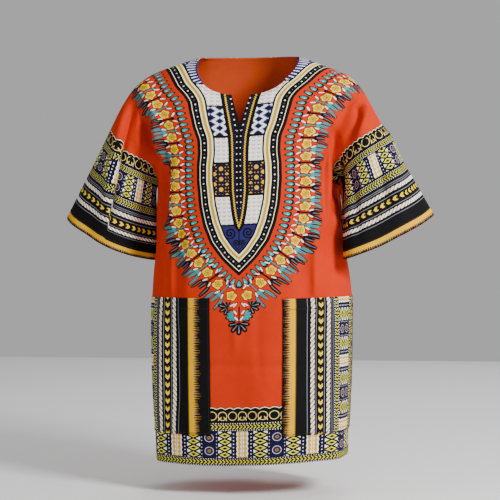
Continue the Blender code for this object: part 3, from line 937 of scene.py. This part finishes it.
def fringe_band(paint, colour, across, along, low, high):
    """Uneven brown and pale bristles that reach out of the next band into the ink."""
    share = (along * 2.3).sine() * (along * 0.61 + 1.0).sine() * 0.5 + (along * 1.37).sine() * 0.3 + 0.35
    pale = (along * 3.1 + 2.0).sine() * 0.5 + (along * 0.83).sine() * 0.3 + 0.1
    paint(INK, across.within(low - 20, high))
    depth = (across * -1.0 + high) / (high - low)
    beside = depth > 0.0
    paint(BROWN, (depth < share) * beside)
    paint(SOOT, (depth < pale) * (share < 0.4) * beside)
    paint(colour, (depth < share * 0.45) * beside)


def zigzag_band(paint, colour, across, along, low, high):
    """Zigzag strokes on ink between two rows of white dots."""
    middle, half = (low + high) / 2, (high - low) / 2
    paint(INK, across.within(low, high))
    off = abs(across - middle)
    turn = (along + off * 1.2).repeat(6.2)
    paint(colour, turn.within(-1.4, 1.0) * off.within(0.3, half * 0.52))
    dot = along.repeat(4.2).distance(off - half * 0.8) < 0.85
    paint(WHITE, dot)


def lozenge_band(paint, colour, across, along, low, high):
    """A pale rope with slanted strokes of tan and ink."""
    middle, half = (low + high) / 2, (high - low) / 2
    turn = (along + (across - middle) * 1.2).repeat(9.0)
    paint(colour, across.within(low, high))
    paint(TAN, (abs(turn) > 2.7) * across.within(low, high))
    bite = abs(across - middle) + abs(turn) * 0.55 > half + 1.5
    paint(INK, bite * across.within(low, high))


def arrow_band(paint, colour, across, along, low, high):
    """Arrowheads in a row along a black band."""
    middle, half = (low + high) / 2, (high - low) / 2
    paint(INK, across.within(low - 1.5, high + 1.5))
    place = along.repeat(14.5)
    side = abs(across - middle)
    head = (place + side * 1.1).within(-4.5, 3.6) * (side < half)
    notch = (place + side * 0.9).within(-4.6, -3.0)
    paint(colour, head)
    paint(INK, notch)


def ring_band(paint, colour, across, along, low, high):
    """Thin rings, each with a short tail, left and right in turn."""
    middle = (low + high) / 2
    paint(INK, across.within(low, high))
    place = along.repeat(17.5)
    radius = place.distance(across - middle)
    turned = place * ((along.repeat(35.0) > 0.0) * 2.0 - 1.0)
    tail = (abs(turned + across - middle) < 1.3) * turned.within(2.0, 7.6)
    paint(colour, radius.within(6.7, 8.0).most(tail) * across.within(low, high))


SLEEVE_FLARE = 0.74


def wide_ring_band(paint, colour, across, along, low, high):
    """The same rings, drawn out along a flared sleeve."""
    ring_band(paint, colour, across, along * SLEEVE_FLARE, low, high)


def scallop_band(paint, colour, across, along, low, high):
    """A scalloped line, black below it."""
    wave = (abs((along * (math.pi / 15.0)).sine())) * (high - low) * 0.7 + low
    paint(INK, (across < wave + 1.6) * (across > low - 3.0))
    paint(colour, (across - wave).within(-0.6, 0.6))


# The blocks run one way and then back: half a repeat is this long
BLOCK_RUN = 57.5


def block_band(paint, colour, across, along, low, high):
    """Blocks that repeat: wavy gold, dots, diamonds, rings, and the same back again."""
    inside = across.within(low, high)
    place = along.fold(BLOCK_RUN)
    up = across - low
    paint(INK, inside)
    # gold figures on white, its sides scalloped
    scallop = abs((across * 0.36).sine())
    paint(colour, (place < scallop * 1.5 + 9.2) * inside)
    beads = abs((place - 5.2).repeat(30.0)) / 3.0 + abs(across.repeat(7.6)) / 4.4
    paint(GOLD, ((beads < 0.85) + (place < 1.1)) * (place < 10.0) * inside)
    paint(TAN, (beads.within(0.85, 1.2)) * (place < 8.6) * inside)
    # a dark strip with dots
    paint(NAVY, place.within(12.4, 19.0) * inside)
    dot = (place - 15.7).distance(up.repeat(6.0))
    paint(WHITE, (dot < 1.0) * inside)
    # diamonds between pale triangles
    diamond = abs(place - 31.4) / 12.0 + abs((up - 5.0).repeat(11.5)) / 5.75
    cells = place.within(20.2, 42.6) * inside
    paint(colour, (diamond > 1.36) * cells)
    paint(LIME, (diamond < 0.80) * cells)
    paint(INK, (diamond < 0.42) * cells)
    # navy with thin rings
    paint(NAVY, (place > 43.6) * inside)
    half = (high - low) / 2
    radius = (place - BLOCK_RUN).distance((up - half / 2).repeat(half))
    rings = (place > 44.5) * inside
    paint(PINK, radius.within(6.5, 7.3) * rings)
    paint(VIOLET, radius.within(3.8, 5.4) * rings)
    paint(TAN, radius.within(1.6, 2.6) * rings)
    paint(PINK, ((place - 45.4).distance(up.repeat(6.0)) < 0.8) * inside)


#    kind, colour, from, to
HEM_BORDER = (
    (plain_band, INK, -5.0, 101.0),
    (zigzag_band, LIME, 0.0, 13.7),
    (block_band, WHITE, 14.7, 61.3),
    (zigzag_band, LIME, 62.0, 76.8),
    (ring_band, STRAW, 77.5, 100.0),
    (scallop_band, CREAM, 100.5, 104.5),
)
SLEEVE_BORDER = (
    (plain_band, INK, -5.0, 190.0),
    (plain_band, GOLD, 2.0, 14.0),
    (fringe_band, GOLD, 0.0, 6.5),
    (plain_band, GREY, 37.5, 38.7),
    (lozenge_band, WHITE, 43.0, 50.0),
    (plain_band, GREY, 53.0, 54.2),
    (arrow_band, YELLOW, 60.0, 68.0),
    (plain_band, GREY, 72.0, 73.2),
    (lozenge_band, WHITE, 78.0, 85.0),
    (plain_band, GREY, 88.0, 89.2),
    (plain_band, GREY, 91.2, 92.4),
    (zigzag_band, LIME, 97.0, 111.0),
    (block_band, WHITE, 114.0, 155.0),
    (zigzag_band, LIME, 156.5, 168.0),
    (wide_ring_band, STRAW, 171.0, 189.0),
    (scallop_band, CREAM, 189.5, 193.5),
)
POCKET_BORDER = (
    (plain_band, INK, -30.0, 240.0),
    (plain_band, GOLD, 5.0, 22.8),
    (fringe_band, GOLD, 0.5, 14.0),
    (plain_band, OLIVE, 22.8, 24.6),
    (plain_band, GREY, 45.5, 46.8),
    (lozenge_band, WHITE, 52.8, 59.8),
    (plain_band, GREY, 62.0, 63.2),
    (arrow_band, YELLOW, 66.8, 74.6),
    (plain_band, GREY, 77.2, 78.4),
    (lozenge_band, WHITE, 82.0, 88.5),
    (plain_band, GREY, 90.8, 91.6),
    (plain_band, GREY, 94.0, 94.8),
    (zigzag_band, LIME, 96.5, 107.0),
    (block_band, WHITE, 108.0, 150.0),
    (zigzag_band, LIME, 151.5, 163.0),
    (ring_band, STRAW, 165.5, 184.0),
)


# A gold block of the hem stands this far from the print's middle
HEM_BLOCK_MIDDLE = 6.0


def border_cotton(name, ground, bands, attribute):
    """Cotton with a border's bands. The hem's run across the shirt, all others along the cloth's edge."""
    cotton = Print(name, ground)
    across, along, _ = cotton.fields(attribute)
    if attribute == "cut":
        across, along = along, across - HEM_BLOCK_MIDDLE
    for kind, colour, low, high in bands:
        kind(cotton.over, colour, across, along, low, high)
    return cotton.finish()


# The yoke's bands, by how far they reach inward from its edge, and the rows of dots on them
EDGE_LINE = (5.4, 6.5)
EDGE_BAND = (17.2, 26.8)
EDGE_CORE = (19.6, 24.0)
DOT_ROW, DOT_PITCH = 11.9, 12.5
CORE_ROW, CORE_PITCH = 21.8, 3.6
PANELS_FROM = 29.8
# The panels inside them, by their heights above the hem
WHITE_PANELS = ((430.0, 479.5), (542.5, 587.0), (651.0, 695.0))
ZIGZAG_PANEL = (591.5, 648.0)
FLOWER_PANEL = (484.0, 538.5)
HEART_TOP = 427.0
BLUE_FROM = 698.0
# The pale strokes point at a place this high, and the notch ends above the other height
STROKES_MIDDLE = 745.0
NOTCH_FOOT = 600.0
FLOWER_PITCH = 18.6
TEETH_PITCH = 4.4
PLACKET_DOTS = 10.9


def yoke_cotton():
    """The pointed yoke: its edge bands, the panels inside them and the placket lines."""
    cotton = Print("yoke_print", GROUND)
    paint = cotton.over
    inside, along, placket = cotton.fields("yoke")
    across, height, _ = cotton.fields("cut")
    side = abs(across)
    paint(INK, inside > 0.0)
    paint(CREAM, inside.within(*EDGE_LINE))
    dot = along.repeat(DOT_PITCH).distance(inside - DOT_ROW)
    paint(WHITE, dot < 1.25)
    faint = (along + DOT_PITCH / 2).repeat(DOT_PITCH).distance(inside - DOT_ROW)
    paint(GREY, faint < 0.65)
    paint(CREAM, inside.within(*EDGE_BAND))
    paint(TAN, inside.within(*EDGE_CORE))
    paint(PALE_YELLOW, along.repeat(CORE_PITCH).distance(inside - CORE_ROW) < 0.9)
    panels = inside > PANELS_FROM
    # pale panels with chevrons
    middle = side - 34.0
    low, mid, high = (height.within(*row) for row in WHITE_PANELS)
    pale = panels * (low + mid + high)
    paint(WHITE, pale)
    chevron = abs((middle - 3.0).repeat(9.6))
    line = (height - chevron * 0.8).repeat(7.4)
    paint(TAN, line.within(-0.9, 0.9) * (chevron < 3.2) * pale)
    # blue and white zigzags round dark diamonds
    row = panels * height.within(*ZIGZAG_PANEL)
    paint(WHITE, row)
    spot = abs(middle) * 0.75 + abs((height - 619.5).repeat(13.5)) * 0.9
    side_spot = abs(abs(middle) - 14.5) * 0.75 + abs((height - 612.75).repeat(13.5)) * 0.9
    feather = (height * 2.6).sine() * 0.7
    paint(BLUE, ((spot + feather < 5.6) + (side_spot + feather < 6.6)) * row)
    paint(NAVY, ((spot < 4.2) + (side_spot < 4.6)) * row)
    # dark with yellow flowers
    row = panels * height.within(*FLOWER_PANEL)
    paint(NAVY, row)
    near, outer, inner = ((side - at_side).distance((height - at_height).repeat(FLOWER_PITCH))
                          for at_side, at_height in ((33.0, 512.0), (45.0, 502.7), (22.0, 502.7)))
    specks = (side - 2.4).repeat(5.6).distance(height.repeat(6.2)) < 1.15
    paint(TAN, specks * (near > 5.2) * row)
    paint(NAVY, (near < 5.4) * row)
    paint(GOLD, ((near < 3.9) + (outer < 3.6) + (inner < 2.4)) * row)
    # the heart with scrolls
    heart = panels * (height < HEART_TOP)
    paint(VIOLET, heart)
    for at_side, at_height, size in ((16.5, 414.0, 10.5), (6.0, 397.0, 6.0)):
        x, y = side - at_side, height - at_height
        radius = x.distance(y)
        spiral = (radius - y.math("ARCTAN2", x) * (size * 0.085)).repeat(size * 0.534)
        paint(INK, spiral.within(-size * 0.1 - 0.5, size * 0.1 + 0.5) * (radius < size) * heart)
    point = (height - 384.0 - side * 0.8).within(-1.0, 1.0) * (side < 7.0)
    stem = (side < 1.0) * height.within(388.0, 424.0)
    paint(INK, point.most(stem) * heart)
    # blue at the shoulders with pale strokes
    top = panels * (height > BLUE_FROM)
    paint(VIOLET, top)
    angle = (height - STROKES_MIDDLE).math("ARCTAN2", side)
    radius = side.distance(height - STROKES_MIDDLE)
    strokes = ((angle * 72.0).sine() > 0.55) * radius.within(78.0, 92.0)
    paint(WHITE, strokes * top)
    dots = ((angle * 72.0).sine() > 0.5) * inside.within(31.5, 33.2)
    paint(WHITE, dots * top)
    # the placket
    below = placket < 7.6
    notch = inside > 20.0
    paint(INK, below * notch)
    paint(NAVY, placket.within(-6.5, -1.0) * notch)
    teeth = abs(height.repeat(TEETH_PITCH)) * 0.9
    paint(PALE_YELLOW, (placket + teeth).within(-0.1, 2.3) * notch)
    paint(INK, (placket < -6.0) * notch)
    dots = (side - 3.4).distance(height.repeat(PLACKET_DOTS)) < 1.05
    paint(WHITE, dots * (placket < -4.5) * (height < NOTCH_FOOT) * notch)
    edge_dots = (placket + 8.6).distance(height.repeat(PLACKET_DOTS)) < 1.35
    paint(WHITE, edge_dots * (height > NOTCH_FOOT) * notch)
    return cotton.finish()


def claw_masks(u, v, length, spread):
    """A stem that opens into a round fork with a shorter finger in it. v is 0 where they part and grows outward.
    Returns the whole, its inside and its inner line."""
    rise = (v / length).most(0.0).least(1.0)
    flare = abs(u) / (rise * 0.2 + 0.86)
    fork = abs(flare.distance((v - spread).least(0.0)) - spread)
    finger = abs(u - rise * 1.6) + (rise > 0.66) * 9.0
    gap = fork.least(finger)
    taper = (rise ** 3 * -1.0 + 1.0) * 2.1 + 0.3
    reach = v.within(-1.5, length)
    inner = v.within(-1.5, length - 1.2)
    return (gap < taper + 1.1) * reach, (gap < taper) * inner, (gap < taper * 0.42) * inner


def lotus(u, v, radius):
    """A flower seen from the side, its five petals fanned about +v. Returns the whole and the petals' lines."""
    angle = u.math("ARCTAN2", v)
    petal = abs((angle * 4.5 + math.pi / 2).sine())
    reach = (petal ** 0.6 * 0.42 + 0.62 - abs(angle) * 0.1) * radius
    away = u.distance(v)
    fan = abs(angle) < 1.9
    return (away < reach) * fan, (petal > 0.95) * (away > radius * 0.2) * (away < reach * 0.82) * fan


DROP_PITCH = 10.7
KNOB_AT = -10.0
CLAW_FROM, CLAW_LENGTH, CLAW_SPREAD = 11.0, 26.5, 11.0


def flower_ring(cotton, paint):
    """The ring of drops, and the one of rosettes with stems that end in fans of fingers."""
    along, out, _ = cotton.fields("drops")
    u = along.repeat(DROP_PITCH)
    shape = (u * (out * -0.055 + 1.0) / 3.5).distance(out / 7.5)
    paint(INK, shape < 1.15)
    paint(TURQUOISE, shape < 0.78)
    paint(WHITE, (u + 0.8).distance(out * 0.35 - 0.6) < 0.55)
    place, out, pitch = cotton.fields("flowers")
    # rosettes stand half way between the stems
    u = (place - 0.5).repeat(1.0) * pitch
    radius = u.distance(out * 0.92)
    angle = out.math("ARCTAN2", u)
    petal = (angle * 5.0 + place * 1.7).sine() * 0.9 + (angle * 2.0 + place * 2.9).sine() * 0.7 + 7.7
    paint(MAROON, radius < petal + 1.2)
    paint(PALE_YELLOW, radius < petal)
    paint(YELLOW, (radius < petal) * (radius > 5.6))
    marks = ((angle * 7.0).sine() * (radius * 1.7).sine()) > 0.15
    paint(OLIVE, marks * radius.within(1.6, 5.8))
    paint(OLIVE, radius < 1.3)
    # stems, knobs and fans, black and turquoise in turn
    u = place.repeat(1.0) * pitch
    side = abs(u)
    blue = abs(place.repeat(2.0)) > 0.5
    away = place > 0.5
    knob = u.distance(out - KNOB_AT)
    stem = ((side < 1.4) * out.within(-9.0, 15.0)).most(knob < 2.7)
    whole, within, line = claw_masks(u, out - CLAW_FROM, CLAW_LENGTH, (pitch * 0.36).least(CLAW_SPREAD))
    paint(INK, stem.most(whole) * away)
    colour = ((side < 0.75) * out.within(-9.0, 13.0)).most(within).most(knob < 1.8)
    paint(TURQUOISE, colour * blue * away)
    paint(SOOT, line * away * (out > 14.0))
    # slim pods on both sides of each stem
    for at, lean, shift in ((-13.5, -0.45, 5.2), (11.0, 0.35, 5.4)):
        pod = ((side - shift - (out - at) * lean) / 1.5).distance((out - at) / 4.9)
        paint(MAROON, (pod < 1.35) * away)
        paint(WHITE, pod < 0.85)


def tail(cotton, paint):
    """The small flowers under the yoke's tip."""
    across, height, _ = cotton.fields("cut")
    side = abs(across)
    low = height < 292.0
    stem = (side < 1.1) * height.within(240.0, 283.0)
    paint(INK, stem)
    #        side  height  turn  radius  colour
    for at_side, at_height, turn, radius, colour in (
        (19.0, 283.0, 1.35, 17.0, GREY),
        (10.0, 268.0, 1.9, 14.0, TURQUOISE),
        (0.0, 254.0, 3.1416, 21.0, GREY),
    ):
        x, y = side - at_side, height - at_height
        u = x * math.cos(turn) - y * math.sin(turn)
        v = x * math.sin(turn) + y * math.cos(turn)
        whole, line = lotus(u, v, radius)
        paint(INK, whole * low)
        figure = line if colour == GREY else lotus(u, v, radius * 0.78)[0]
        paint(colour, figure * low)
    for at_side, at_height, lean in ((4.5, 262.0, 0.7), (6.5, 273.0, 0.7), (7.0, 286.0, -0.8), (10.0, 318.0, 0.9)):
        x, y = side - at_side, height - at_height
        pod = ((x - y * lean) / 1.7).distance(y / 4.0)
        paint(MAROON, pod < 1.4)
        paint(WHITE, pod < 0.9)


def ring_cotton():
    cotton = Print("flower_print", GROUND)
    flower_ring(cotton, cotton.over)
    tail(cotton, cotton.over)
    return cotton.finish()


panel_cottons = [
    Print("orange_cotton", GROUND).finish(),
    yoke_cotton(),
    ring_cotton(),
    border_cotton("hem_print", GROUND, HEM_BORDER, "cut"),
    border_cotton("sleeve_print", GROUND, SLEEVE_BORDER, "edge"),
    Print("reverse_cotton", REVERSE).finish(),
]
pocket_cottons = [
    border_cotton("pocket_print", INK, POCKET_BORDER, "edge"),
    Print("pocket_reverse", srgb(70, 68, 66)).finish(),
]


SHELL_CLOTH = 0.0008


def body_shell(name, node, points, there, cut, edge, flip):
    yoke, drops, flowers = print_coordinates(cut)
    attributes = {"cut": cut, "edge": edge, "yoke": yoke, "drops": drops, "flowers": flowers}
    regions = print_regions(cut, edge, yoke, flowers)
    piece = shell(name, points, there, attributes, regions, panel_cottons, SHELL_CLOTH, flip)
    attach(piece, "root")
    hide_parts(node)
    return piece


front = body_shell("front_shell", "front", front_points, front_there, front_cut, front_edge, False)
back = body_shell("back_shell", "back", back_points, back_there, back_cut, back_edge, True)


def pocket_piece(side):
    """A pocket's grid, which is the front's own grid under it, moved out, and its border's coordinates."""
    inner = POCKET_INNER[side]
    s_row = columns()
    keep = s_row <= -inner + 1e-9 if side == "left" else s_row >= inner - 1e-9
    first = (ARMHOLE_ROWS + CHEST_ROWS) * FINE
    rows = slice(first, first + POCKET_ROWS * FINE + 1)
    s, v = front_s[rows][:, keep], front_v[rows][:, keep]
    base = panel(s, v, False, out=CLOTH / 2 + POCKET_GAP + POCKET_CLOTH / 2)
    points = base + grid_normals(base, False) * crease_height(base, FRONT_CREASES)[..., None]
    across = path_length(points if side == "right" else points[:, ::-1], 1)
    if side == "left":
        across = across[:, ::-1] - POCKET_SHIFT / 1000
    return points, np.stack([across, path_length(points), across * 0], axis=-1) * 1000.0


# The left pocket shows more of the border's black edge
POCKET_SHIFT = 17.5
pocket_grids = {}
for side in ("left", "right"):
    points, edge = pocket_piece(side)
    pocket_grids[side] = points
    everywhere = np.ones(points.shape[:2], bool)
    pocket = shell("pocket_" + side + "_shell", points, everywhere, {"edge": edge}, everywhere * 0, pocket_cottons,
                   SHELL_CLOTH)
    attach(pocket, "root")
    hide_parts("pocket_" + side)


# Rows of stitches: length, width and height of one, the pitch, and how far the thread stands off the cloth
STITCH = (0.0028, 0.0007, 0.0004)
STITCH_PITCH = 0.0042
STITCH_LIFT = 0.0006
NECK_INSET = 0.005
HEM_INSET = 0.013
CUFF_INSET = 0.016
POCKET_INSET = 0.0035
POCKET_TOP_INSET = 0.019
NECK_POINTS = 500
NECK_DEPTH = 140
# Seam allowances: the points along one, its thickness, its width on each side of the seam, how near the seam its
# middle starts, and how far inside the cloth it lies
SEAM_POINTS = 140
SEAM_CLOTH = 0.0006
SEAM_WIDTH = 0.007
SEAM_START = 0.0001
SEAM_DROP = 0.0011


def with_normals(points, flip):
    """A grid's points and normals in one array, for the functions below."""
    return np.stack([points, grid_normals(points, flip)])


def level_line(cloth, distance, inset):
    """Where a distance, one value for each point of a grid, first reaches the inset along each row of the grid."""
    line = np.arange(len(distance))
    after = np.maximum(np.argmax(distance >= inset, axis=1), 1)
    low, high = distance[line, after - 1], distance[line, after]
    t = np.clip((inset - low) / (high - low), 0.0, 1.0)[:, None]
    return cloth[:, line, after - 1] * (1 - t) + cloth[:, line, after] * t


def inset_line(cloth, inset):
    """The line that lies this far along each row of a grid from its first point."""
    return level_line(cloth, path_length(cloth[0], 1), inset)


def turned(cloth):
    """The cloth with its rows and columns in each other's place."""
    return np.swapaxes(cloth, 1, 2)


def stitches(name, lines):
    """Straight stitches along lines on the cloth, each a small block of thread."""
    length, width, height = STITCH
    verts, faces = [], []
    for points, normals in lines:
        middle = np.arange(STITCH_PITCH, path_length(points)[-1] - STITCH_PITCH / 2, STITCH_PITCH)
        ahead = unit(at_places(middle + length / 2, points, points) - at_places(middle - length / 2, points, points))
        up = at_places(middle, points, normals)
        beside = unit(np.cross(up, ahead))
        up = np.cross(ahead, beside)
        centre = at_places(middle, points, points) + up * STITCH_LIFT
        first = sum(len(block) for block in verts)
        corners = [centre + ahead * (i * length / 2) + beside * (j * width / 2) + up * (k * height / 2)
                   for i in (-1, 1) for j in (-1, 1) for k in (-1, 1)]
        verts.append(np.stack(corners, axis=1).reshape(-1, 3))
        sides = ((0, 1, 3, 2), (4, 6, 7, 5), (0, 4, 5, 1), (2, 3, 7, 6), (0, 2, 6, 4), (1, 5, 7, 3))
        faces += [[first + 8 * n + corner for corner in side] for n in range(len(centre)) for side in sides]
    mesh = bpy.data.meshes.new(name)
    mesh.from_pydata(np.concatenate(verts).tolist(), [], faces)
    mesh.materials.append(thread_material)
    piece = placed(name, mesh)
    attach(piece, "root")
    return piece


def neck_line(cloth, there):
    """The line round the front's neckline and notch, from the left shoulder to the right one."""
    gone = np.nonzero(~there[0])[0]
    left, right = gone[0] - 1, gone[-1] + 1
    first = SHOULDER_ROWS * FINE
    left_side = inset_line(cloth[:, :first, left::-1], NECK_INSET)
    right_side = inset_line(cloth[:, :first, right:], NECK_INSET)
    below = cloth[:, first:first + NECK_DEPTH, left:right + 1]
    edge = below[0, 0]
    edge = at_places(np.linspace(0.0, path_length(edge)[-1], NECK_POINTS), edge, edge)
    distance = np.linalg.norm(below[0, :, :, None] - edge, axis=-1).min(axis=2)
    low = level_line(turned(below), distance.T, NECK_INSET)
    return np.concatenate([left_side, low, right_side[:, ::-1]], axis=1)


def body_lines(cloth, there):
    """Lines along the hem and both cuffs."""
    hem = inset_line(turned(cloth[:, ::-1, there[-1]]), HEM_INSET)
    return [hem] + [inset_line(cloth[:, :ARMHOLE_ROWS * FINE + 1, ::step], CUFF_INSET) for step in (1, -1)]


def seam_tape(name, fronts, backs):
    """The seam's allowance, a strip of cloth on the inside. The rows of both cloths start at the seam."""
    across = []
    for cloth, inset in ((fronts, SEAM_WIDTH), (fronts, SEAM_START), (backs, SEAM_START), (backs, SEAM_WIDTH)):
        line, up = inset_line(cloth, inset)
        places = np.linspace(0.0, path_length(line)[-1], SEAM_POINTS)
        across.append(at_places(places, line, line - up * SEAM_DROP))
    grid = np.stack(across, axis=1)
    everywhere = np.ones(grid.shape[:2], bool)
    tape = shell(name, grid, everywhere, {}, everywhere * 0, panel_cottons[-1:], SEAM_CLOTH)
    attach(tape, "root")


thread_material, thread_shader = new_material("thread", srgb(44, 38, 34))
thread_shader.inputs["Roughness"].default_value = 0.7
thread_shader.inputs["Specular IOR Level"].default_value = 0.2

front_cloth, back_cloth = with_normals(front_points, False), with_normals(back_points, True)
sleeve_cells = SLEEVE_CELLS * FINE
neck_columns = np.nonzero(np.abs(columns()) < NECK_CORNER)[0] + sleeve_cells
back_neck = inset_line(turned(back_cloth[:, :, neck_columns]), NECK_INSET)
stitches("neck_stitches", [neck_line(front_cloth, front_there), back_neck])
stitches("front_stitches", body_lines(front_cloth, front_there))
stitches("back_stitches", body_lines(back_cloth, back_there))
for side, step in (("left", -1), ("right", 1)):
    cloth = with_normals(pocket_grids[side], False)
    lines = [inset_line(turned(cloth), POCKET_TOP_INSET),
             inset_line(turned(cloth[:, ::-1]), POCKET_INSET),
             inset_line(cloth[:, :, ::step], POCKET_INSET)]
    stitches("pocket_" + side + "_stitches", lines)

# The seams' allowances: down the side, under the sleeve, and over the shoulder and sleeve, where they end a few
# columns short of the neckline
SEAM_STOP = 3
underarm = ARMHOLE_ROWS * FINE
for side, step in (("left", 1), ("right", -1)):
    shoulder = slice(0, sleeve_cells + int((columns() * step <= -NECK_CORNER).sum()) - SEAM_STOP)
    cloths = [cloth[:, :, ::step] for cloth in (front_cloth, back_cloth)]
    seams = {
        "side": [cloth[:, underarm:, sleeve_cells:] for cloth in cloths],
        "under": [turned(cloth[:, underarm::-1, :sleeve_cells + 1]) for cloth in cloths],
        "top": [turned(cloth[:, :underarm, shoulder]) for cloth in cloths],
    }
    for place, (fronts, backs) in seams.items():
        seam_tape(side + "_" + place + "_seam", fronts, backs)


# The floor, the light and the camera
FLOOR_HALF_X, FLOOR_HALF_Y, FLOOR_Z = 4, 3, -0.80
floor_corners = [(x * FLOOR_HALF_X, y * FLOOR_HALF_Y, FLOOR_Z) for x, y in ((-1, -1), (1, -1), (1, 1), (-1, 1))]
floor_mesh = bpy.data.meshes.new("floor")
floor_mesh.from_pydata(floor_corners, [], [(0, 1, 2, 3)])
floor_mesh.materials.append(new_material("pale_floor", (0.86, 0.86, 0.86, 1.0))[0])
placed("floor", floor_mesh)

world = bpy.data.worlds.new("studio")
world.use_nodes = True
background = world.node_tree.nodes["Background"]
background.inputs["Color"].default_value = (1.0, 1.0, 1.0, 1.0)
background.inputs["Strength"].default_value = 0.44
bpy.context.scene.world = world

TARGET = Vector((0.0, 0.0, -0.36))
CAMERA_AZIMUTH = math.radians(7.5)
CAMERA_DISTANCE = 2.6
CAMERA_LENS = 100.5


def area_light(name, place, size, power):
    light = bpy.data.lights.new(name, "AREA")
    light.size = size
    light.energy = power
    lamp = placed(name, light)
    lamp.location = place
    lamp.rotation_euler = (TARGET - Vector(place)).to_track_quat("-Z", "Y").to_euler()


area_light("key", (2.0, -1.5, 1.0), 0.8, 128.0)
area_light("fill", (-2.2, -2.0, 0.4), 2.0, 14.0)
area_light("rear", (0.5, 2.4, 1.6), 1.6, 30.0)

camera_data = bpy.data.cameras.new("camera")
camera_data.lens = CAMERA_LENS
camera_data.sensor_width = 36.0
camera = placed("camera", camera_data)
back_vector = Vector((math.sin(CAMERA_AZIMUTH), -math.cos(CAMERA_AZIMUTH), 0.0))
camera.location = TARGET + back_vector * CAMERA_DISTANCE
camera.rotation_euler = (-back_vector).to_track_quat("-Z", "Y").to_euler()
bpy.context.scene.camera = camera
